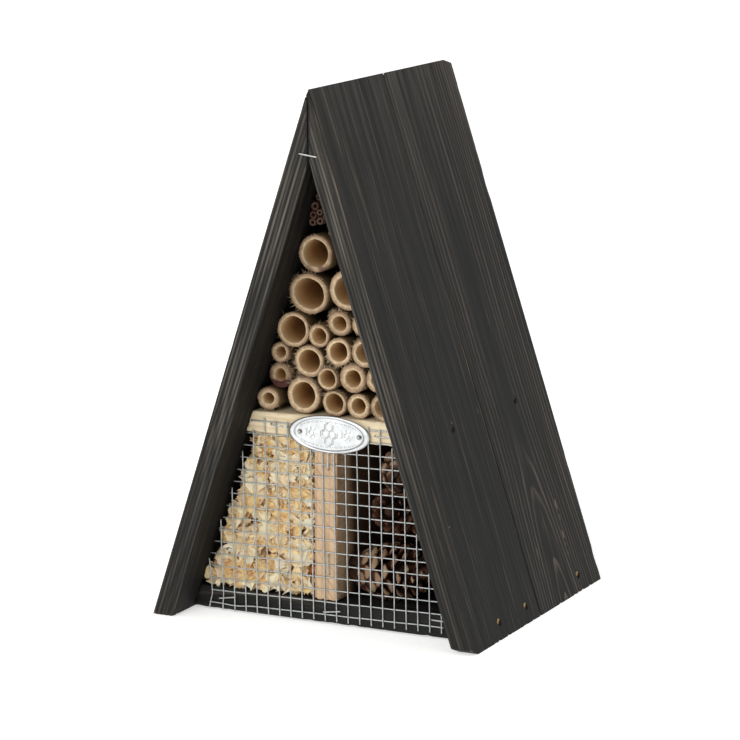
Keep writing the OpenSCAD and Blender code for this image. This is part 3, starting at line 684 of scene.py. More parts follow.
def cane_mesh(name, centre, front, length, radius, bore, seed, plug_at, finishes, around=CANE_AROUND, fray=(0, 0)):
    """One cane lying front to back; fray is (where round the rim in degrees, how many fibres)."""
    chance = random.Random(seed)
    turns = np.arange(around) * 2 * math.pi / around
    oval, lean_to = chance.uniform(0.0, 0.03), chance.uniform(0, math.pi)
    drift = chance.uniform(0, 0.09) * (radius - bore)
    drift_to = chance.uniform(0, 2 * math.pi)
    skin_r = radius * (1 - oval + oval * np.cos(2 * (turns - lean_to)))
    bore_r = bore * (1 + 1.6 * oval * np.cos(2 * (turns - lean_to) + 0.4)) + drift * np.cos(turns - drift_to)
    ripple = np.array([noise.noise(Vector((math.cos(t) * 2.2, math.sin(t) * 2.2, seed * 3.7))) for t in turns])
    saw = np.array([noise.noise(Vector((math.cos(t) * 1.1, math.sin(t) * 1.1, seed * 1.3))) for t in turns])
    burr = np.array([noise.noise(Vector((math.cos(t) * 9, math.sin(t) * 9, seed * 2.3))) for t in turns])
    tilt, tilt_to = chance.uniform(0, 0.35), chance.uniform(0, 2 * math.pi)
    points, outward, depth = [], [], []
    zones = []
    for back, share, zone in cane_profile(length, radius - bore, plug_at):
        ring = bore_r + (skin_r - bore_r) * share
        ring = ring + ripple * 0.16 * (0.4 + 0.6 * (zone != SKIN)) * (1 if back < 14 else 0.3) - 0.06
        if zone == END and share > 0.6:
            ring = ring + 0.5 * burr * (share - 0.6)
        near = math.exp(-back / 2.5)
        level = back + near * (0.35 * np.abs(saw) + tilt * (1 + np.cos(turns - tilt_to)) / 2)
        points += zip(centre[0] + ring * np.cos(turns), front + level, centre[1] + ring * np.sin(turns))
        outward += [share] * around
        # Painted shade: skin and bore are painted darker the further they lie behind the front
        depth += [min(back / 14, 1) * 0.75] * around
        zones.append(zone)
    faces, slots = [], []
    for i in range(len(zones) - 1):
        for k in range(around):
            n = (k + 1) % around
            faces.append((i * around + k, i * around + n, (i + 1) * around + n, (i + 1) * around + k))
            slots.append(zones[i + 1] if zones[i] != SKIN or zones[i + 1] == END else SKIN)
    floor_at = len(points)
    points.append((centre[0], front + plug_at, centre[1]))
    outward.append(0)
    depth.append(0.75)
    start = (len(zones) - 1) * around
    faces += [(start + k, start + (k + 1) % around, floor_at) for k in range(around)]
    slots += [BORE] * around
    back_at = len(points)
    points.append((centre[0], front + length, centre[1]))
    outward.append(0.5)
    depth.append(0.3)
    faces += [((k + 1) % around, k, back_at) for k in range(around)]
    slots += [END] * around
    # Torn fibres stand up from the rim as thin slivers
    for k in range(fray[1] + 22):
        t = math.radians(fray[0] + chance.gauss(0, 34)) if k < fray[1] else chance.uniform(0, 2 * math.pi)
        reach = chance.uniform(0.7, 2.9) if k < fray[1] else chance.uniform(0.5, 1.0)
        lift, width = chance.uniform(-0.9, 0.5), chance.uniform(0.12, 0.34)
        out = np.array((math.cos(t), 0, math.sin(t)))
        side = np.array((-math.sin(t), 0, math.cos(t)))
        root = np.array((centre[0], front + chance.uniform(0.4, 1.6), centre[1])) + out * (radius - 0.45)
        tip = root + out * reach + np.array((0, lift * reach, 0)) + side * chance.uniform(-0.7, 0.7) * reach
        first = len(points)
        points += [tuple(root + side * width), tuple(root - side * width), tuple(root + (0, 0.25, 0)), tuple(tip)]
        faces += [(first, first + 1, first + 3), (first + 1, first + 2, first + 3), (first + 2, first, first + 3)]
        slots += [END] * 3
        outward += [0.3] * 4
        depth += [0.1] * 4
    piece = build(name, points, faces, finishes, slots)
    paint(piece, "outward", outward)
    paint(piece, "depth", depth)
    paint(piece, "tone", np.full(len(points), chance.uniform(0.0, 0.5)))
    return piece


# %% Twenty canes
def cane_facts(node):
    """Centre, front, length, radius and bore of a cane, read from its CAD node, in millimetres."""
    lowest, highest = (np.array(v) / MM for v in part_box(node))
    centre = ((lowest[0] + highest[0]) / 2, (lowest[2] + highest[2]) / 2)
    points = np.array([v.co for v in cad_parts[node].data.vertices]) / MM
    off_axis = np.hypot(points[:, 0] - centre[0], points[:, 2] - centre[1])
    on_bore = off_axis[off_axis > 1.0].min()
    return centre, lowest[1], highest[1] - lowest[1], (highest[0] - lowest[0]) / 2, on_bore


# Canes with torn rims: where round the rim, in degrees up from the right, and how many fibres
TORN = {2: (150, 70), 3: (120, 12), 4: (215, 16), 6: (140, 90), 7: (290, 12), 8: (190, 40), 9: (250, 60),
        10: (130, 16), 11: (20, 36), 12: (80, 40), 13: (60, 24), 15: (290, 12), 16: (95, 60), 17: (80, 40),
        19: (240, 20)}
# Canes with a brown stain on the cut end: where it is centred and how strong it is
STAINED = {1: (-50, 1.4), 7: (180, 0.3), 11: (-100, 3.0), 12: (60, 0.6), 16: (80, 0.3), 19: (200, 0.4)}
CANE_NODES = sorted(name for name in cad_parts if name.startswith("cane_"))
for number, node in enumerate(CANE_NODES, 1):
    centre, front, length, radius, bore = cane_facts(node)
    cane = cane_mesh(node + "_bamboo", centre, front, length, radius, bore, number, length - 12, CANE_FINISHES,
                     fray=TORN.get(number, (100, 6)))
    where, strength = STAINED.get(number, (0, 0))
    spots = np.array([v.co for v in cane.data.vertices]) / MM
    turn = np.arctan2(spots[:, 2] - centre[1], spots[:, 0] - centre[0]) - math.radians(where)
    patchy = 0.55 + 0.9 * speckle(spots, np.array((0.25, 0.25, 0.25)), number)
    paint(cane, "stain", np.clip(strength * np.exp(-(1 - np.cos(turn)) * 1.3) * patchy, 0, 1))
    keep(cane, "bamboo", node)

# %% [markdown]
# ## Thin reeds
# Under the ridge sit thin reed stems, too small for the big canes' detail but made the same
# way with fewer points. Their places come from the loose solids of one CAD node, which the
# next helper separates.


# %% Reeds
def solids_of(node):
    """The separate solids of a CAD node, as arrays of points in millimetres."""
    mesh = bmesh.new()
    mesh.from_mesh(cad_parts[node].data)
    bmesh.ops.remove_doubles(mesh, verts=mesh.verts, dist=1e-6)
    left, found = set(mesh.verts), []
    while left:
        group, queue = [], [left.pop()]
        while queue:
            vert = queue.pop()
            group.append(vert.co[:])
            for edge in vert.link_edges:
                other = edge.other_vert(vert)
                if other in left:
                    left.remove(other)
                    queue.append(other)
        found.append(np.array(group) / MM)
    mesh.free()
    return found


reed_skin = bamboo_wall("reed_skin", [(0.1, "#5d4833"), (0.6, "#37291c"), (1.0, "#1d150e")], 0.55, "depth")
reed_bore = bamboo_wall("reed_bore", [(0.1, "#5a3d26"), (0.6, "#2f1f14"), (1.0, "#1a100a")], 0.8, "depth")
reed_end = cut_bamboo("cut_reed_end", [(0.28, "#8d7460"), (0.55, "#66503f"), (0.9, "#3b2b22")])
REED_FINISHES = [reed_skin, reed_end, reed_bore]
for number, solid in enumerate(solids_of("reed_bundle")):
    lowest, highest = solid.min(0), solid.max(0)
    centre = ((lowest[0] + highest[0]) / 2, (lowest[2] + highest[2]) / 2)
    radius = (highest[0] - lowest[0]) / 2
    reed = cane_mesh(f"reed_{number + 1:02d}", centre, lowest[1], highest[1] - lowest[1], radius, radius * 0.52,
                     100 + number, 90, REED_FINISHES, around=28, fray=(90, 4))
    paint(reed, "stain", np.full(len(reed.data.vertices), 0.2 + 0.6 * (number % 3) / 2))
    keep(reed, "reed", "reed_bundle")

# %% [markdown]
# ## Wood shavings
# The left room is packed with planer shavings: thin cream flakes, each curled along its grain,
# with ragged ends and a faint ribbing across. They lie at all angles against the mesh, and
# light that has passed through several of them comes out orange. One soft lump could never
# show that, so hundreds of closed thin flakes are bent one by one and pressed inside the room.
# A lumpy core behind them, in darker orange as painted shade, stops the gaps from looking hollow.


# %% Shaving finish
def shaved_pine(name, cream, honey, deep):
    """Thin planed pine; the tone attribute varies it from flake to flake, and deep, the colour of painted shade,
    reddens it where the inner attribute says.
    """
    material = fresh(name)
    where = add(material, "ShaderNodeAttribute", attribute_name="flake")
    tone = add(material, "ShaderNodeAttribute", attribute_name="tone")
    inner = add(material, "ShaderNodeAttribute", attribute_name="inner")
    # Grain lines run along a flake, about 0.7 mm apart
    lines = add(material, "ShaderNodeMapping", {"Vector": where.outputs["Vector"], "Scale": (120, 1500, 1)})
    streak = add(material, "ShaderNodeTexNoise", {"Vector": lines, "Scale": 1.0, "Detail": 3.0})
    mixed = add(material, "ShaderNodeMath", {0: streak, 1: 0.4, 2: tone.outputs["Fac"]}, operation="MULTIPLY_ADD")
    wood = add(material, "ShaderNodeValToRGB", {"Fac": mixed}, stops=[(0.15, cream), (0.95, honey)])
    # Painted shade: flakes further back in the heap turn dark orange
    colour = add(material, "ShaderNodeMix", {"Factor": inner.outputs["Fac"], 6: wood, 7: linear(deep)},
                 data_type="RGBA")
    bump = add(material, "ShaderNodeBump", {"Height": streak, "Strength": 0.4, "Distance": 0.15 * MM})
    surface = add(material, "ShaderNodeBsdfPrincipled",
                  {"Base Color": colour.outputs[2], "Roughness": 0.65, "Normal": bump, "Specular IOR Level": 0.3,
                   "Subsurface Weight": 0.4, "Subsurface Radius": (1.0, 0.5, 0.2), "Subsurface Scale": 2.5 * MM})
    add(material, "ShaderNodeOutputMaterial", {"Surface": surface})
    return material


fresh_shaving = shaved_pine("fresh_pine_shaving", "#fff0cb", "#f2c07c", "#cc6c17")
# A darker orange copy of the shaving colours for the core: painted shade between the flakes
shaded_shaving_core = shaved_pine("shade_darkened_shaving_core", "#d29049", "#b86f2b", "#95521a")

# %% Bend the flakes
ROOM_LEFT_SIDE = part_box("divider_board")[0].x / MM
heap_low, heap_high = (np.array(v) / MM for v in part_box("wood_shavings"))
FLAKE_U, FLAKE_V = 13, 7


def flake(chance, middle, size, facing, around):
    """Points and grid places of one closed curled flake.
    size is (length, width, curl in degrees, thickness), facing its outward direction and
    around its turn in its own plane."""
    length, width, curl, thick = size
    u, v = np.meshgrid(np.linspace(-0.5, 0.5, FLAKE_U), np.linspace(-0.5, 0.5, FLAKE_V), indexing="ij")
    seed = chance.uniform(0, 500)
    # Torn ends: every strip of fibres broke at its own length
    teeth = np.array([noise.noise(Vector((seed, 0.83 * k, 1.0))) for k in range(FLAKE_V)])
    edge = np.array([noise.noise(Vector((seed, 0.41 * k, 9.0))) for k in range(FLAKE_U)])
    along = u * length * (1 + 0.8 * teeth[None, :])
    across = v * width * (1 + 0.6 * edge[:, None]) * (1 - 0.45 * np.abs(2 * u) ** 3)
    turn = math.radians(curl) * along / length
    radius = length / math.radians(curl)
    twist = chance.uniform(-1.1, 1.1) * u
    cup = chance.uniform(-0.06, 0.1) * width * (2 * v) ** 2
    crumple = 0.05 * width * np.sin(7 * u + seed) * np.cos(5 * v + 2 * seed)
    ribs = 0.07 * np.sin(along * 2.6 + seed)
    way = chance.choice((-1, 1))
    points = []
    for layer in (0.0, thick):
        reach = radius - layer - cup - ribs - crumple
        x = reach * np.sin(turn)
        z = reach * np.cos(turn) - radius
        y = across * np.cos(twist) + z * 0.3 * np.sin(twist)
        z = z + across * np.sin(twist)
        points.append(np.stack([x, way * y, way * z], -1).reshape(-1, 3))
    normal = Vector(facing).normalized()
    first = normal.cross(Vector((0.31, 0.2, 0.93))).normalized()
    second = normal.cross(first)
    long_way = first * math.cos(around) + second * math.sin(around)
    wide_way = normal.cross(long_way)
    basis = np.array([long_way, wide_way, normal])
    grid = np.stack([along / 10, across / 10, 0 * u], -1).reshape(-1, 3)
    return np.concatenate(points) @ basis + middle, np.concatenate([grid, grid])


def flake_faces(first):
    """Faces of one closed flake whose points start at first."""
    faces, layer = [], FLAKE_U * FLAKE_V
    for i in range(FLAKE_U - 1):
        for j in range(FLAKE_V - 1):
            a, b = i * FLAKE_V + j, (i + 1) * FLAKE_V + j
            faces.append((first + a, first + b, first + b + 1, first + a + 1))
            faces.append((first + layer + a, first + layer + a + 1, first + layer + b + 1, first + layer + b))
    border = [i * FLAKE_V for i in range(FLAKE_U)]
    border += [(FLAKE_U - 1) * FLAKE_V + j for j in range(1, FLAKE_V)]
    border += [i * FLAKE_V + FLAKE_V - 1 for i in range(FLAKE_U - 2, -1, -1)]
    border += [j for j in range(FLAKE_V - 2, 0, -1)]
    for a, b in zip(border, border[1:] + border[:1]):
        faces.append((first + b, first + a, first + layer + a, first + layer + b))
    return faces


def pressed(points):
    """Pushes a flake back into the left room, then flattens whatever still sticks out."""
    points[:, 1] += max(0, INSIDE_Y + 0.15 - points[:, 1].min())
    points[:, 0] -= max(0, points[:, 0].max() - ROOM_LEFT_SIDE + 0.1)
    points[:, 2] += max(0, BASE_TOP + 0.15 - points[:, 2].min())
    points[:, 2] = np.clip(points[:, 2], BASE_TOP + 0.15, SHELF_LOW - 0.15)
    points[:, 0] = np.clip(points[:, 0], 0.4 - clear_half(points[:, 2]), ROOM_LEFT_SIDE - 0.1)
    return points


# The heap's left side, as (height, place): it stands off the leaning board in uneven steps
HEAP_SIDE = [(12, -70.5), (19, -69.0), (24, -64.5), (33, -63.5), (45, -58.5), (53, -58.0), (58, -52.5),
             (64, -48.5), (69, -50.5), (77, -47.0), (86, -44.5), (93, -42.0)]


def heap_of_flakes(name, count, sizes, widths, curls, depth, seed):
    """Many flakes in one mesh. sizes, widths and curls are ranges, depth how far back they go."""
    chance = random.Random(seed)
    points, grids, faces, tones, painted_depth_shades = [], [], [], [], []
    for number in range(count):
        z = chance.uniform(BASE_TOP + 1, SHELF_LOW - 1)
        left = np.interp(z, *zip(*HEAP_SIDE)) + 0.25 * sizes[0]
        x = chance.uniform(left, ROOM_LEFT_SIDE - 0.3 * widths[0])
        # The heap has slipped down a little in the corner by the divider
        z = max(z, BASE_TOP + 1 + 5 * min(max((x + 24) / 8, 0), 1))
        back = min(abs(chance.gauss(0, 0.5)), 1) * depth
        facing = (chance.gauss(0, 0.5), -1, chance.gauss(0.15, 0.5))
        size = (chance.uniform(*sizes), chance.uniform(*widths), chance.uniform(*curls), chance.uniform(0.1, 0.2))
        spots, grid = flake(chance, np.array((x, INSIDE_Y + 1.2 + back, z)), size, facing,
                            chance.uniform(0, math.pi))
        faces += flake_faces(number * 2 * FLAKE_U * FLAKE_V)
        points.append(pressed(spots))
        grids.append(grid + (chance.uniform(0, 9), chance.uniform(0, 9), 0))
        tones.append(np.full(len(spots), chance.uniform(0.0, 0.7)))
        # Painted shade: the further back a flake lies, the darker orange it is painted
        painted_depth_shades.append(np.clip((spots[:, 1] - INSIDE_Y - 2.4) / 5.0, 0, 0.9))
    piece = build(name, np.concatenate(points), faces, [fresh_shaving])
    piece.data.set_sharp_from_angle(angle=math.radians(50))
    paint(piece, "flake", np.concatenate(grids))
    paint(piece, "tone", np.concatenate(tones))
    paint(piece, "inner", np.concatenate(painted_depth_shades))
    keep(piece, "shavings", "wood_shavings")


heap_of_flakes("crumbs_of_shavings", 540, (2.0, 5.5), (1.2, 3.4), (60, 260), 7.5, 41)
heap_of_flakes("curled_shavings", 330, (7.0, 13.0), (4.0, 7.5), (40, 170), 5.5, 42)
heap_of_flakes("broad_shavings", 80, (11.0, 18.0), (7.5, 12.0), (20, 70), 2.0, 43)

# %% Core of the heap
core_points, core_faces = flat_copy("wood_shavings", Matrix.Identity(4), 1.8)
lumps = speckle(core_points, np.array((0.3, 0.3, 0.3)), 12.0) + 0.5 * speckle(core_points, np.array((0.8,) * 3), 5.0)
heap_middle = (heap_low + heap_high) / 2
inward = heap_middle - core_points
inward /= np.linalg.norm(inward, axis=1)[:, None]
core_points += inward * (2.2 + 1.4 * lumps)[:, None]
core_points[:, 0] = ROOM_LEFT_SIDE + 0.9 * (core_points[:, 0] - ROOM_LEFT_SIDE)
core_points[:, 1] += 5.0 * np.exp(-(core_points[:, 1] - heap_low[1]) / 8)
core = build("shavings_core", core_points, core_faces, [shaded_shaving_core])
paint(core, "flake", core_points * 0.1)
paint(core, "tone", np.clip(0.5 + lumps, 0, 1))
paint(core, "inner", np.clip(0.5 - lumps, 0, 0.9))
keep(core, "shavings", "wood_shavings")

# %% [markdown]
# ## Pine cones
# A pine cone carries its woody scales on a spiral: each one sits 137.5 degrees round from the
# last, which packs them evenly. A scale is a tongue that thickens at its end into a swollen
# grey-tan shield with a blunt point. Inside the cone it is reddish brown. The front left cone
# turns its stalk end forward, so its shields overlap like tiles; the others stand half open.
# Five cones take a darker copy of the scale colours as painted shade.


# %% Cone finish
def cone_scale_finish(name, shield, flesh, root):
    """Scale colours: shield at the tip, flesh along the tongue, root deep inside."""
    material = fresh(name)
    where = add(material, "ShaderNodeTexCoord")
    tip = add(material, "ShaderNodeAttribute", attribute_name="tip")
    tone = add(material, "ShaderNodeAttribute", attribute_name="tone")
    rough = add(material, "ShaderNodeTexNoise", {"Vector": where.outputs["Object"], "Scale": 500.0, "Detail": 5.0})
    uneven = add(material, "ShaderNodeMath", {0: rough, 1: 0.3, 2: tip.outputs["Fac"]}, operation="MULTIPLY_ADD")
    place = add(material, "ShaderNodeMath", {0: uneven, 1: 0.15}, operation="SUBTRACT")
    wood = add(material, "ShaderNodeValToRGB", {"Fac": place},
               stops=[(0.0, root), (0.45, flesh), (0.75, shield), (1.0, shield)])
    shade = add(material, "ShaderNodeMapRange", {"Value": tone.outputs["Fac"], "To Min": 0.0, "To Max": 0.55})
    colour = add(material, "ShaderNodeMix", {"Factor": shade, 6: wood, 7: linear(flesh)}, data_type="RGBA")
    bump = add(material, "ShaderNodeBump", {"Height": rough, "Strength": 0.5, "Distance": 0.4 * MM})
    surface = add(material, "ShaderNodeBsdfPrincipled",
                  {"Base Color": colour.outputs[2], "Roughness": 0.68, "Normal": bump, "Specular IOR Level": 0.35})
    add(material, "ShaderNodeOutputMaterial", {"Surface": surface})
    return material


front_cone = cone_scale_finish("weathered_cone_scale", "#a1876a", "#5d3823", "#150b06")
# A darker copy of the scale colours for the cones in shade: painted shade
shaded_cone = cone_scale_finish("shade_darkened_cone_scale", "#6b4733", "#43200f", "#120804")

# %% One scale and one cone
SCALE_U, SCALE_V = 10, 9
GOLDEN_TURN = math.radians(137.508)


def scale_template():
    """A scale of unit length and width: points (along, across, up) and its tip share."""
    u, v = np.meshgrid(np.linspace(0, 1, SCALE_U) ** 0.85, np.linspace(-1, 1, SCALE_V), indexing="ij")
    round_end = np.sqrt(np.clip(1 - np.clip((u - 0.78) / 0.23, 0, 1) ** 2.4, 0.02, 1))
    half_width = 0.5 * (0.4 + 0.6 * np.clip(u / 0.7, 0, 1)) * round_end
    swell = np.exp(-((u - 0.84) / 0.15) ** 2)
    keel = swell * (0.13 + 0.05 * (1 - v ** 2))
    umbo = 0.08 * np.exp(-((u - 0.86) / 0.05) ** 2 - (v / 0.22) ** 2)
    thin = 0.03 + 0.03 * u
    lift = 0.10 * u ** 2
    outer = np.stack([u, v * half_width, lift + thin * (1 - v ** 2) + keel + umbo], -1)
    inner = np.stack([u, v * half_width * 0.96, lift - thin * (1 - v ** 2) - 0.10 * (1 - v ** 2) * (1 - swell)], -1)
    tip = np.clip((u - 0.55) / 0.3, 0, 1) * (1 - 0.75 * np.abs(v) ** 5)
    return outer, inner, tip


SCALE_OUTER, SCALE_INNER, SCALE_TIP = scale_template()


def pine_cone(name, node, finish, scales, stalk_first, openness, tilt, seed):
    """A cone in its CAD node's box. openness runs from 0, shut, to 1; tilt turns its axis."""
    chance = random.Random(seed)
    lowest, highest = (np.array(v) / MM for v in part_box(node))
    centre, size = (lowest + highest) / 2, highest - lowest
    lies_across = size[0] > size[1]
    length, radius = (size[0], size[1] / 2) if lies_across else (size[1], size[0] / 2)
    points, faces, tips, tones = [], [], [], []
    layer = SCALE_U * SCALE_V
    for i in range(scales):
        share = (i + 0.5) / scales
        turn = i * GOLDEN_TURN + chance.uniform(-0.08, 0.08)
        girth = radius * min(1, (math.sin(math.pi * (0.06 + 0.88 * share ** 0.9))) ** 0.55)
        spread = max(0, (share - 0.4) / 0.6) if lies_across else math.sin(math.pi * min(1, share * 1.1))
        opening = math.radians(18 + 52 * openness * spread + chance.uniform(-6, 6))
        tongue = max(girth * 0.62 / math.sin(opening), 4.5)
        tongue = min(tongue, 13.0)
        wide = (10.2 - 5.0 * share) * (girth / radius) * chance.uniform(0.9, 1.1) * radius / 13
        out = np.array((math.cos(turn), 0, math.sin(turn)))
        side = np.array((-math.sin(turn), 0, math.cos(turn)))
        axis = np.array((0, 1, 0))
        long_way = out * math.sin(opening) + axis * math.cos(opening)
        up = out * math.cos(opening) - axis * math.sin(opening)
        tip_at = out * girth + axis * (share - 0.5) * (length - 6)
        root = tip_at - long_way * tongue
        thick = 6.0 * girth / radius
        for sheet in (SCALE_OUTER, SCALE_INNER):
            flat = sheet.reshape(-1, 3)
            points.append(root + flat[:, :1] * tongue * long_way + flat[:, 1:2] * wide * side + flat[:, 2:] * thick * up)
        first = i * 2 * layer
        for a in range(SCALE_U - 1):
            for b in range(SCALE_V - 1):
                p, q = a * SCALE_V + b, (a + 1) * SCALE_V + b
                faces.append((first + p, first + q, first + q + 1, first + p + 1))
                faces.append((first + layer + p, first + layer + p + 1, first + layer + q + 1, first + layer + q))
        rim = [a * SCALE_V for a in range(SCALE_U)] + [(SCALE_U - 1) * SCALE_V + b for b in range(1, SCALE_V)]
        rim += [a * SCALE_V + SCALE_V - 1 for a in range(SCALE_U - 2, -1, -1)] + list(range(SCALE_V - 2, 0, -1))
        for p, q in zip(rim, rim[1:] + rim[:1]):
            faces.append((first + q, first + p, first + layer + p, first + layer + q))
        tips += [SCALE_TIP.ravel(), SCALE_TIP.ravel() * 0.75]
        tones.append(np.full(2 * layer, chance.random()))
    spots = np.concatenate(points)
    if not stalk_first:
        spots[:, 1] *= -1
        spots[:, 0] *= -1
    # The spindle that the scales grow from
    spindle = len(spots)
    rings, around = 12, 16
    for k in range(rings):
        along = (k / (rings - 1) - 0.5) * (length - 8)
        thick = radius * 0.34 * math.sin(math.pi * (0.08 + 0.84 * k / (rings - 1))) ** 0.5
        for a in range(around):
            t = 2 * math.pi * a / around
            points.append(np.array([(thick * math.cos(t), along, thick * math.sin(t))]))
    spots = np.concatenate([spots, np.concatenate(points[2 * scales:])])
    for k in range(rings - 1):
        for a in range(around):
            b = (a + 1) % around
            faces.append(tuple(spindle + n for n in (k * around + b, k * around + a, (k + 1) * around + a,
                                                     (k + 1) * around + b)))
    faces.append(tuple(spindle + a for a in range(around)))
    faces.append(tuple(spindle + (rings - 1) * around + a for a in reversed(range(around))))
    quarter = -90 if lies_across else 0
    turned = Matrix.Rotation(math.radians(tilt[0] + quarter), 3, "Z") @ Matrix.Rotation(math.radians(tilt[1]), 3, "X")
    spots = spots @ np.array(turned).T + centre
    piece = build(name, spots, faces, [finish])
    paint(piece, "tip", np.concatenate(tips + [np.zeros(rings * around)]))
    paint(piece, "tone", np.concatenate(tones + [np.ones(rings * around)]))
    keep(piece, "pine_cone_scale", node)
    return piece


# Each cone: its finish, number of scales, stalk end forward or not, openness, tilt in degrees
CONES = {
    "pine_cone_1": (front_cone, 84, True, 1.0, (0, 4)),
    "pine_cone_2": (shaded_cone, 62, True, 0.75, (-12, 6)),
    "pine_cone_3": (shaded_cone, 60, False, 0.9, (10, -10)),
    "pine_cone_4": (shaded_cone, 56, False, 0.8, (-8, 12)),
    "pine_cone_5": (front_cone, 56, True, 0.85, (6, 14)),
    "pine_cone_6": (shaded_cone, 56, False, 0.7, (0, 5)),
    "pine_cone_7": (shaded_cone, 56, True, 0.7, (5, 0)),
}
for number, (node, facts) in enumerate(CONES.items()):
    pine_cone(node + "_scales", node, *facts, seed=60 + number)

# %% [markdown]
# ## Wire, staples and nails
# The mesh is galvanised wire, welded at each crossing and cut with pliers, so its ends stand
# free and a few are bent. Each wire is its own thin tube along a slightly wandering line, and
# it swells a little at its welds. Staples are flat wire with round shoulders. Zinc is a dull,
# bluish-white metal; the plate is brighter because it was pressed from polished sheet.


# %% Metal finishes
def plain_metal(name, light, dark, rough, patch_mm, scratch=0.15):
    """A metal whose surface varies in patches about patch_mm across; recesses hold dark dirt."""
    material = fresh(name)
    where = add(material, "ShaderNodeTexCoord")
    patches = add(material, "ShaderNodeTexNoise",
                  {"Vector": where.outputs["Object"], "Scale": 1 / (patch_mm * MM), "Detail": 4.0})
    clean = add(material, "ShaderNodeValToRGB", {"Fac": patches}, stops=[(0.3, dark), (0.7, light)])
    recess = add(material, "ShaderNodeAttribute", attribute_name="recess")
    colour = add(material, "ShaderNodeMix", {"Factor": recess.outputs["Fac"], 6: clean, 7: linear("#3a3a3c")},
                 data_type="RGBA")
    dulled = add(material, "ShaderNodeMapRange", {"Value": patches, "To Min": rough + 0.12, "To Max": rough - 0.08})
    bump = add(material, "ShaderNodeBump", {"Height": patches, "Strength": scratch, "Distance": 0.05 * MM})
    surface = add(material, "ShaderNodeBsdfPrincipled",
                  {"Base Color": colour.outputs[2], "Metallic": 1.0, "Roughness": dulled, "Normal": bump})
    add(material, "ShaderNodeOutputMaterial", {"Surface": surface})
    return material


galvanised = plain_metal("galvanised_wire", "#c9cdcc", "#a9adac", 0.46, 1.5)
bright_steel = plain_metal("bright_steel", "#c3c3bf", "#9d9d99", 0.36, 2.0)
brassy_steel = plain_metal("brass_coated_steel", "#c0a055", "#4e3c1e", 0.38, 0.8, 0.3)
stained_steel = plain_metal("stain_covered_steel", "#3a342d", "#1a1816", 0.55, 0.9, 0.3)
pressed_zinc = plain_metal("pressed_zinc_sheet", "#e8eaea", "#cfd2d3", 0.34, 6.0, 0.1)

# %% Tubes
def tube(path, across, half_across, half_along, around=8, power=2.0, swell=1.0):
    """Closed tube along a path; across is a fixed direction square to the path.
    half_across and half_along are its half sizes, swell thickens it from point to point, and
    a power above 2 squares its section."""
    path = np.asarray(path, float)
    tangent = np.gradient(path, axis=0)
    tangent /= np.linalg.norm(tangent, axis=1)[:, None]
    across = np.asarray(across, float)
    other = np.cross(tangent, across)
    turns = np.arange(around) * 2 * math.pi / around
    c, s = np.cos(turns), np.sin(turns)
    c, s = np.sign(c) * np.abs(c) ** (2 / power), np.sign(s) * np.abs(s) ** (2 / power)
    wide = across * (c * half_across)[None, :, None]
    deep = other[:, None, :] * (s * half_along)[None, :, None]
    thick = (np.ones(len(path)) * swell)[:, None, None]
    points = (path[:, None, :] + thick * (wide + deep)).reshape(-1, 3)
    faces = []
    for i in range(len(path) - 1):
        for k in range(around):
            n = (k + 1) % around
            faces.append((i * around + k, i * around + n, (i + 1) * around + n, (i + 1) * around + k))
    faces.append(tuple(reversed(range(around))))
    faces.append(tuple((len(path) - 1) * around + k for k in range(around)))
    return points, faces


def joined(parts):
    """Several (points, faces) in one."""
    points, faces, first = [], [], 0
    for some_points, some_faces in parts:
        points.append(some_points)
        faces += [tuple(first + k for k in face) for face in some_faces]
        first += len(some_points)
    return np.concatenate(points), faces


# %% Wire mesh
PITCH = 6.35
MESH_TILT = math.radians(1)
MESH_CORNER = (-64.7, 4.2)
WIRE_R = 0.35
UPRIGHTS, CROSS_WIRES = 21, 16
CROSS_Y = INSIDE_Y - WIRE_R - 0.02
UPRIGHT_Y = CROSS_Y - 2 * WIRE_R + 0.07
# Tops of the outer uprights, which stand above their last crossing
CUT_TOPS = {0: 27.3, 1: 48.2, 2: 65.0, 3: 84.0, 4: 95.4, 16: 91.9, 17: 73.1, 18: 50.3, 19: 31.5}


def on_mesh(x, z):
    """From the mesh's own grid to the room: it was stapled on a little askew."""
    dx, dz = x - MESH_CORNER[0], z - MESH_CORNER[1]
    return (MESH_CORNER[0] + dx * math.cos(MESH_TILT) - dz * math.sin(MESH_TILT),
            MESH_CORNER[1] + dx * math.sin(MESH_TILT) + dz * math.cos(MESH_TILT))


def bent(x, z):
    """Small bends that handling left: the lower left corner is pushed in, the rest just waves."""
    corner = math.exp(-((x + 64) / 5) ** 2)
    dx = 0.16 * noise.noise(Vector((x * 0.13, z * 0.06, 3.0)))
    dz = 0.22 * noise.noise(Vector((x * 0.05, z * 0.13, 8.0)))
    dx += corner * (-1.5 * min(max((z - 10) / 17, 0), 1) - 1.9 * min(max((9 - z) / 7, 0), 1))
    dz += -0.8 * math.exp(-((x + 52) / 7) ** 2 - ((z - 4) / 5) ** 2)
    return dx, dz


wires = []
row_heights = [MESH_CORNER[1] + j * PITCH for j in range(CROSS_WIRES)]
column_places = [MESH_CORNER[0] + i * PITCH for i in range(UPRIGHTS)]
for i, x in enumerate(column_places):
    limit = (INNER_HALF - abs(x) - 3) / math.tan(LEAN)
    top = max(h for h in row_heights if h <= limit) + 1
    top = CUT_TOPS.get(i, top + 0.5 * (i % 3))
    heights = np.arange(MESH_CORNER[1] - 3, top + 0.1, 0.8)
    path, girth = [], []
    for z in heights:
        px, pz = on_mesh(x, z)
        dx, dz = bent(px, pz)
        path.append((px + dx, UPRIGHT_Y + 0.05 * noise.noise(Vector((x, z * 0.2, 0))), pz + dz))
        gap_to_weld = min(abs(z - h) for h in row_heights)
        girth.append(1 + 0.10 * math.exp(-(gap_to_weld / 0.7) ** 2))
    wires.append(tube(path, (0, 1, 0), WIRE_R, WIRE_R, swell=girth))
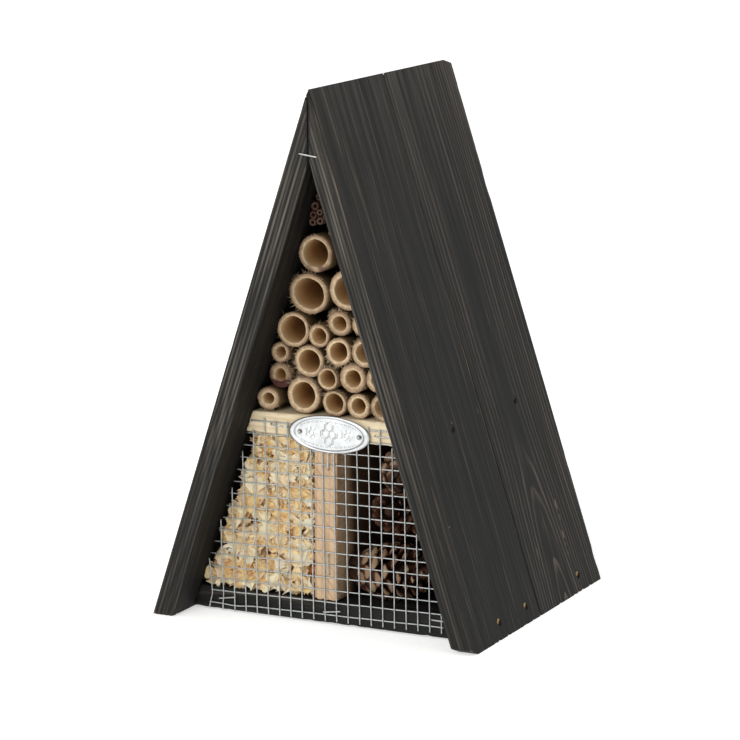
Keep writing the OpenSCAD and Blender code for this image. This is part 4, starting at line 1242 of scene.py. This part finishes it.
for j, z in enumerate(row_heights):
    reach = clear_half(z) - 3
    left, right = max(-reach, column_places[0] - 1), min(reach, column_places[-1] + 1)
    path, girth = [], []
    for x in np.arange(left, right + 0.1, 0.8):
        px, pz = on_mesh(x, z)
        dx, dz = bent(px, pz)
        path.append((px + dx, CROSS_Y, pz + dz))
        gap_to_weld = min(abs(x - c) for c in column_places)
        girth.append(1 + 0.10 * math.exp(-(gap_to_weld / 0.7) ** 2))
    wires.append(tube(path, (0, 1, 0), WIRE_R, WIRE_R, swell=girth))
mesh_points, mesh_faces = joined(wires)
mesh_piece = build("wire_mesh_wires", mesh_points, mesh_faces, [galvanised])
keep(mesh_piece, "galvanised_wire", "wire_mesh")


# %% Staples
def staple(lowest, highest, tilt):
    """A staple in the box of its CAD solid: a flat crown with round shoulders and two legs."""
    size = highest - lowest
    upright = size[2] > size[0]
    half = max(size[0], size[2]) / 2
    half_t, half_w = 0.27, 0.36
    middle = (lowest + highest) / 2
    front, shoulder = lowest[1] + half_t, 0.8
    run = half - half_t - shoulder
    path = [(-half + half_t, highest[1]), (-half + half_t, front + shoulder)]
    path += [(-run - shoulder * math.sin(math.radians(a)), front + shoulder - shoulder * math.cos(math.radians(a)))
             for a in (70, 45, 20)]
    path += [(s * run, front) for s in (-1, -0.5, 0, 0.5, 1)]
    path += [(run + shoulder * math.sin(math.radians(a)), front + shoulder - shoulder * math.cos(math.radians(a)))
             for a in (20, 45, 70)]
    path += [(half - half_t, front + shoulder), (half - half_t, highest[1])]
    spots = [(0, y, s) if upright else (s, y, 0) for s, y in path]
    points, faces = tube(spots, (1, 0, 0) if upright else (0, 0, 1), half_w, half_t, 12, 4.0)
    lean_angle = math.radians(tilt)
    x, z = points[:, 0].copy(), points[:, 2].copy()
    points[:, 0] = x * math.cos(lean_angle) - z * math.sin(lean_angle) + middle[0]
    points[:, 2] = x * math.sin(lean_angle) + z * math.cos(lean_angle) + middle[2]
    return points, faces


# How far each staple was driven out of true, in degrees up to the right, from left to right
STAPLE_TILTS = {"ridge_staple": (-7,), "shelf_staples": (-4, 1), "base_staples": (9, 8, -1),
                "divider_staples": (1, -2)}
for node, tilts in STAPLE_TILTS.items():
    solids = sorted(solids_of(node), key=lambda solid: (round(solid[:, 0].mean()), solid[:, 2].mean()))
    parts = [staple(solid.min(0), solid.max(0), tilt) for solid, tilt in zip(solids, tilts, strict=True)]
    piece = build(node + "_bent", *joined(parts), [bright_steel])
    keep(piece, "bright_steel", node)

# %% [markdown]
# ## The oval plate
# The plate is an oval of thin zinc, pressed from behind: a rolled rim, a ring of beads, four
# comb cells and a five-petalled flower on either side. All of it is a height over the
# sheet, so the plate is one closed shell whose front is raised by that height.

# %% Pressed relief
plate_low, plate_high = (np.array(v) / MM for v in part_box("name_plate"))
plate_middle = (plate_low + plate_high) / 2
PLATE_A, PLATE_B = (plate_high[0] - plate_low[0]) / 2, (plate_high[2] - plate_low[2]) / 2
SHEET_T = 0.35
RELIEF = plate_high[1] - plate_low[1] - SHEET_T


def ridge(distance, width):
    """A rounded ridge: 1 on its line and 0 beyond half its width."""
    return np.clip(1 - (np.abs(distance) / (width / 2)) ** 2, 0, 1)


def hexagon_line(x, z, cx, cz, r):
    """Distance from the outline of a hexagon with a corner at the top."""
    dx, dz = np.abs(x - cx), np.abs(z - cz)
    flat = math.cos(math.radians(30))
    return np.maximum(dx, dx * 0.5 + dz * flat) - r * flat


def blossom(x, z, cx, r):
    """Height of a flower of five petals round a button."""
    away = np.hypot(x - cx, z)
    edge = r * (0.6 + 0.4 * np.abs(np.cos(2.5 * np.arctan2(z, x - cx))))
    groove = 1 - 0.8 * np.exp(-((away - 0.36 * r) / 0.28) ** 2)
    return np.clip(2.2 * (1 - away / edge), 0, 1) * groove


def plate_height(x, z):
    """Height of the relief, 0 to 1, at a place on the plate."""
    r = np.hypot(x / PLATE_A, z / PLATE_B)
    height = 0.22 * (1 - r ** 2)
    # Rolled rim with a groove inside it
    rim_in = (1 - r) * PLATE_B
    height = height + 0.85 * ridge(rim_in - 0.75, 1.5) - 0.12 * ridge(rim_in - 2.0, 0.9)
    for k in range(44):
        t = 2 * math.pi * (k + 0.5) / 44
        if abs(math.cos(t)) > 0.86:
            continue
        bx, bz = (PLATE_A - 3.6) * math.cos(t), (PLATE_B - 3.1) * math.sin(t)
        height = height + 0.38 * np.clip(1 - ((x - bx) ** 2 + (z - bz) ** 2) / 0.42 ** 2, 0, 1)
    comb = [ridge(hexagon_line(x, z, cx, cz, 2.3), 0.6) for cx, cz in ((-1.99, 0), (1.99, 0), (0, 3.45), (0, -3.45))]
    height = height + 0.5 * np.max(comb, axis=0)
    for side in (-1, 1):
        height = height + 0.5 * blossom(x, z, side * 9.7, 3.7)
    for side in (-1, 1):
        nail = np.hypot(x - side * 16.25, z)
        height = height - 0.35 * np.clip(1 - nail / 2.2, 0, 1)
    return height


RINGS, SPOKES = 84, 320
shares = 1 - (1 - np.linspace(0, 1, RINGS + 1)[1:]) ** 1.15
spoke = np.arange(SPOKES) * 2 * math.pi / SPOKES
px = np.concatenate([[0.0], (shares[:, None] * PLATE_A * np.cos(spoke)).ravel()])
pz = np.concatenate([[0.0], (shares[:, None] * PLATE_B * np.sin(spoke)).ravel()])
relief = plate_height(px, pz)
front_y = plate_high[1] - SHEET_T - np.clip(relief, -0.3, 1.0) * RELIEF
sheet = np.stack([px + plate_middle[0], front_y, pz + plate_middle[2]], -1)
back_ring = np.stack([PLATE_A * 0.985 * np.cos(spoke) + plate_middle[0], np.full(SPOKES, plate_high[1]),
                      PLATE_B * 0.975 * np.sin(spoke) + plate_middle[2]], -1)
plate_faces = [(0, 1 + (k + 1) % SPOKES, 1 + k) for k in range(SPOKES)]
for i in range(RINGS - 1):
    for k in range(SPOKES):
        n = (k + 1) % SPOKES
        a, b = 1 + i * SPOKES, 1 + (i + 1) * SPOKES
        plate_faces.append((a + k, a + n, b + n, b + k))
last, behind = 1 + (RINGS - 1) * SPOKES, 1 + RINGS * SPOKES
plate_faces += [(last + k, last + (k + 1) % SPOKES, behind + (k + 1) % SPOKES, behind + k) for k in range(SPOKES)]
plate_faces.append(tuple(behind + k for k in range(SPOKES)))
plate_piece = build("pressed_oval_plate", np.concatenate([sheet, back_ring]), plate_faces, [pressed_zinc])
# Dirt sits at the foot of every raised line: where the highest neighbour stands well above
relief_grid = relief[1:].reshape(RINGS, SPOKES)
near_high = relief_grid.copy()
for step in (-2, -1, 1, 2):
    near_high = np.maximum(near_high, np.roll(relief_grid, step, axis=1))
    if step > 0:
        near_high[step:] = np.maximum(near_high[step:], relief_grid[:-step])
        near_high[:-step] = np.maximum(near_high[:-step], relief_grid[step:])
dirt = np.clip((near_high - relief_grid - 0.1) / 0.4, 0, 0.45)
paint(plate_piece, "recess", np.concatenate([[0.0], dirt.ravel(), np.zeros(SPOKES)]))
keep(plate_piece, "zinc_plate", "name_plate")

# %% [markdown]
# ## Nails and brads
# The nails, brads and plate pins are already true turned shapes in the CAD model, so they are
# carried over as they are and only given their metal.

# %% Finish the carried-over nails
for node, material in (("base_nails", brassy_steel), ("shelf_nails", stained_steel),
                       ("divider_nails", stained_steel), ("back_brads", stained_steel), ("plate_nails", bright_steel)):
    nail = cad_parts[node]
    nail.data.materials.clear()
    nail.data.materials.append(material)
    print(node, "in", material.name)
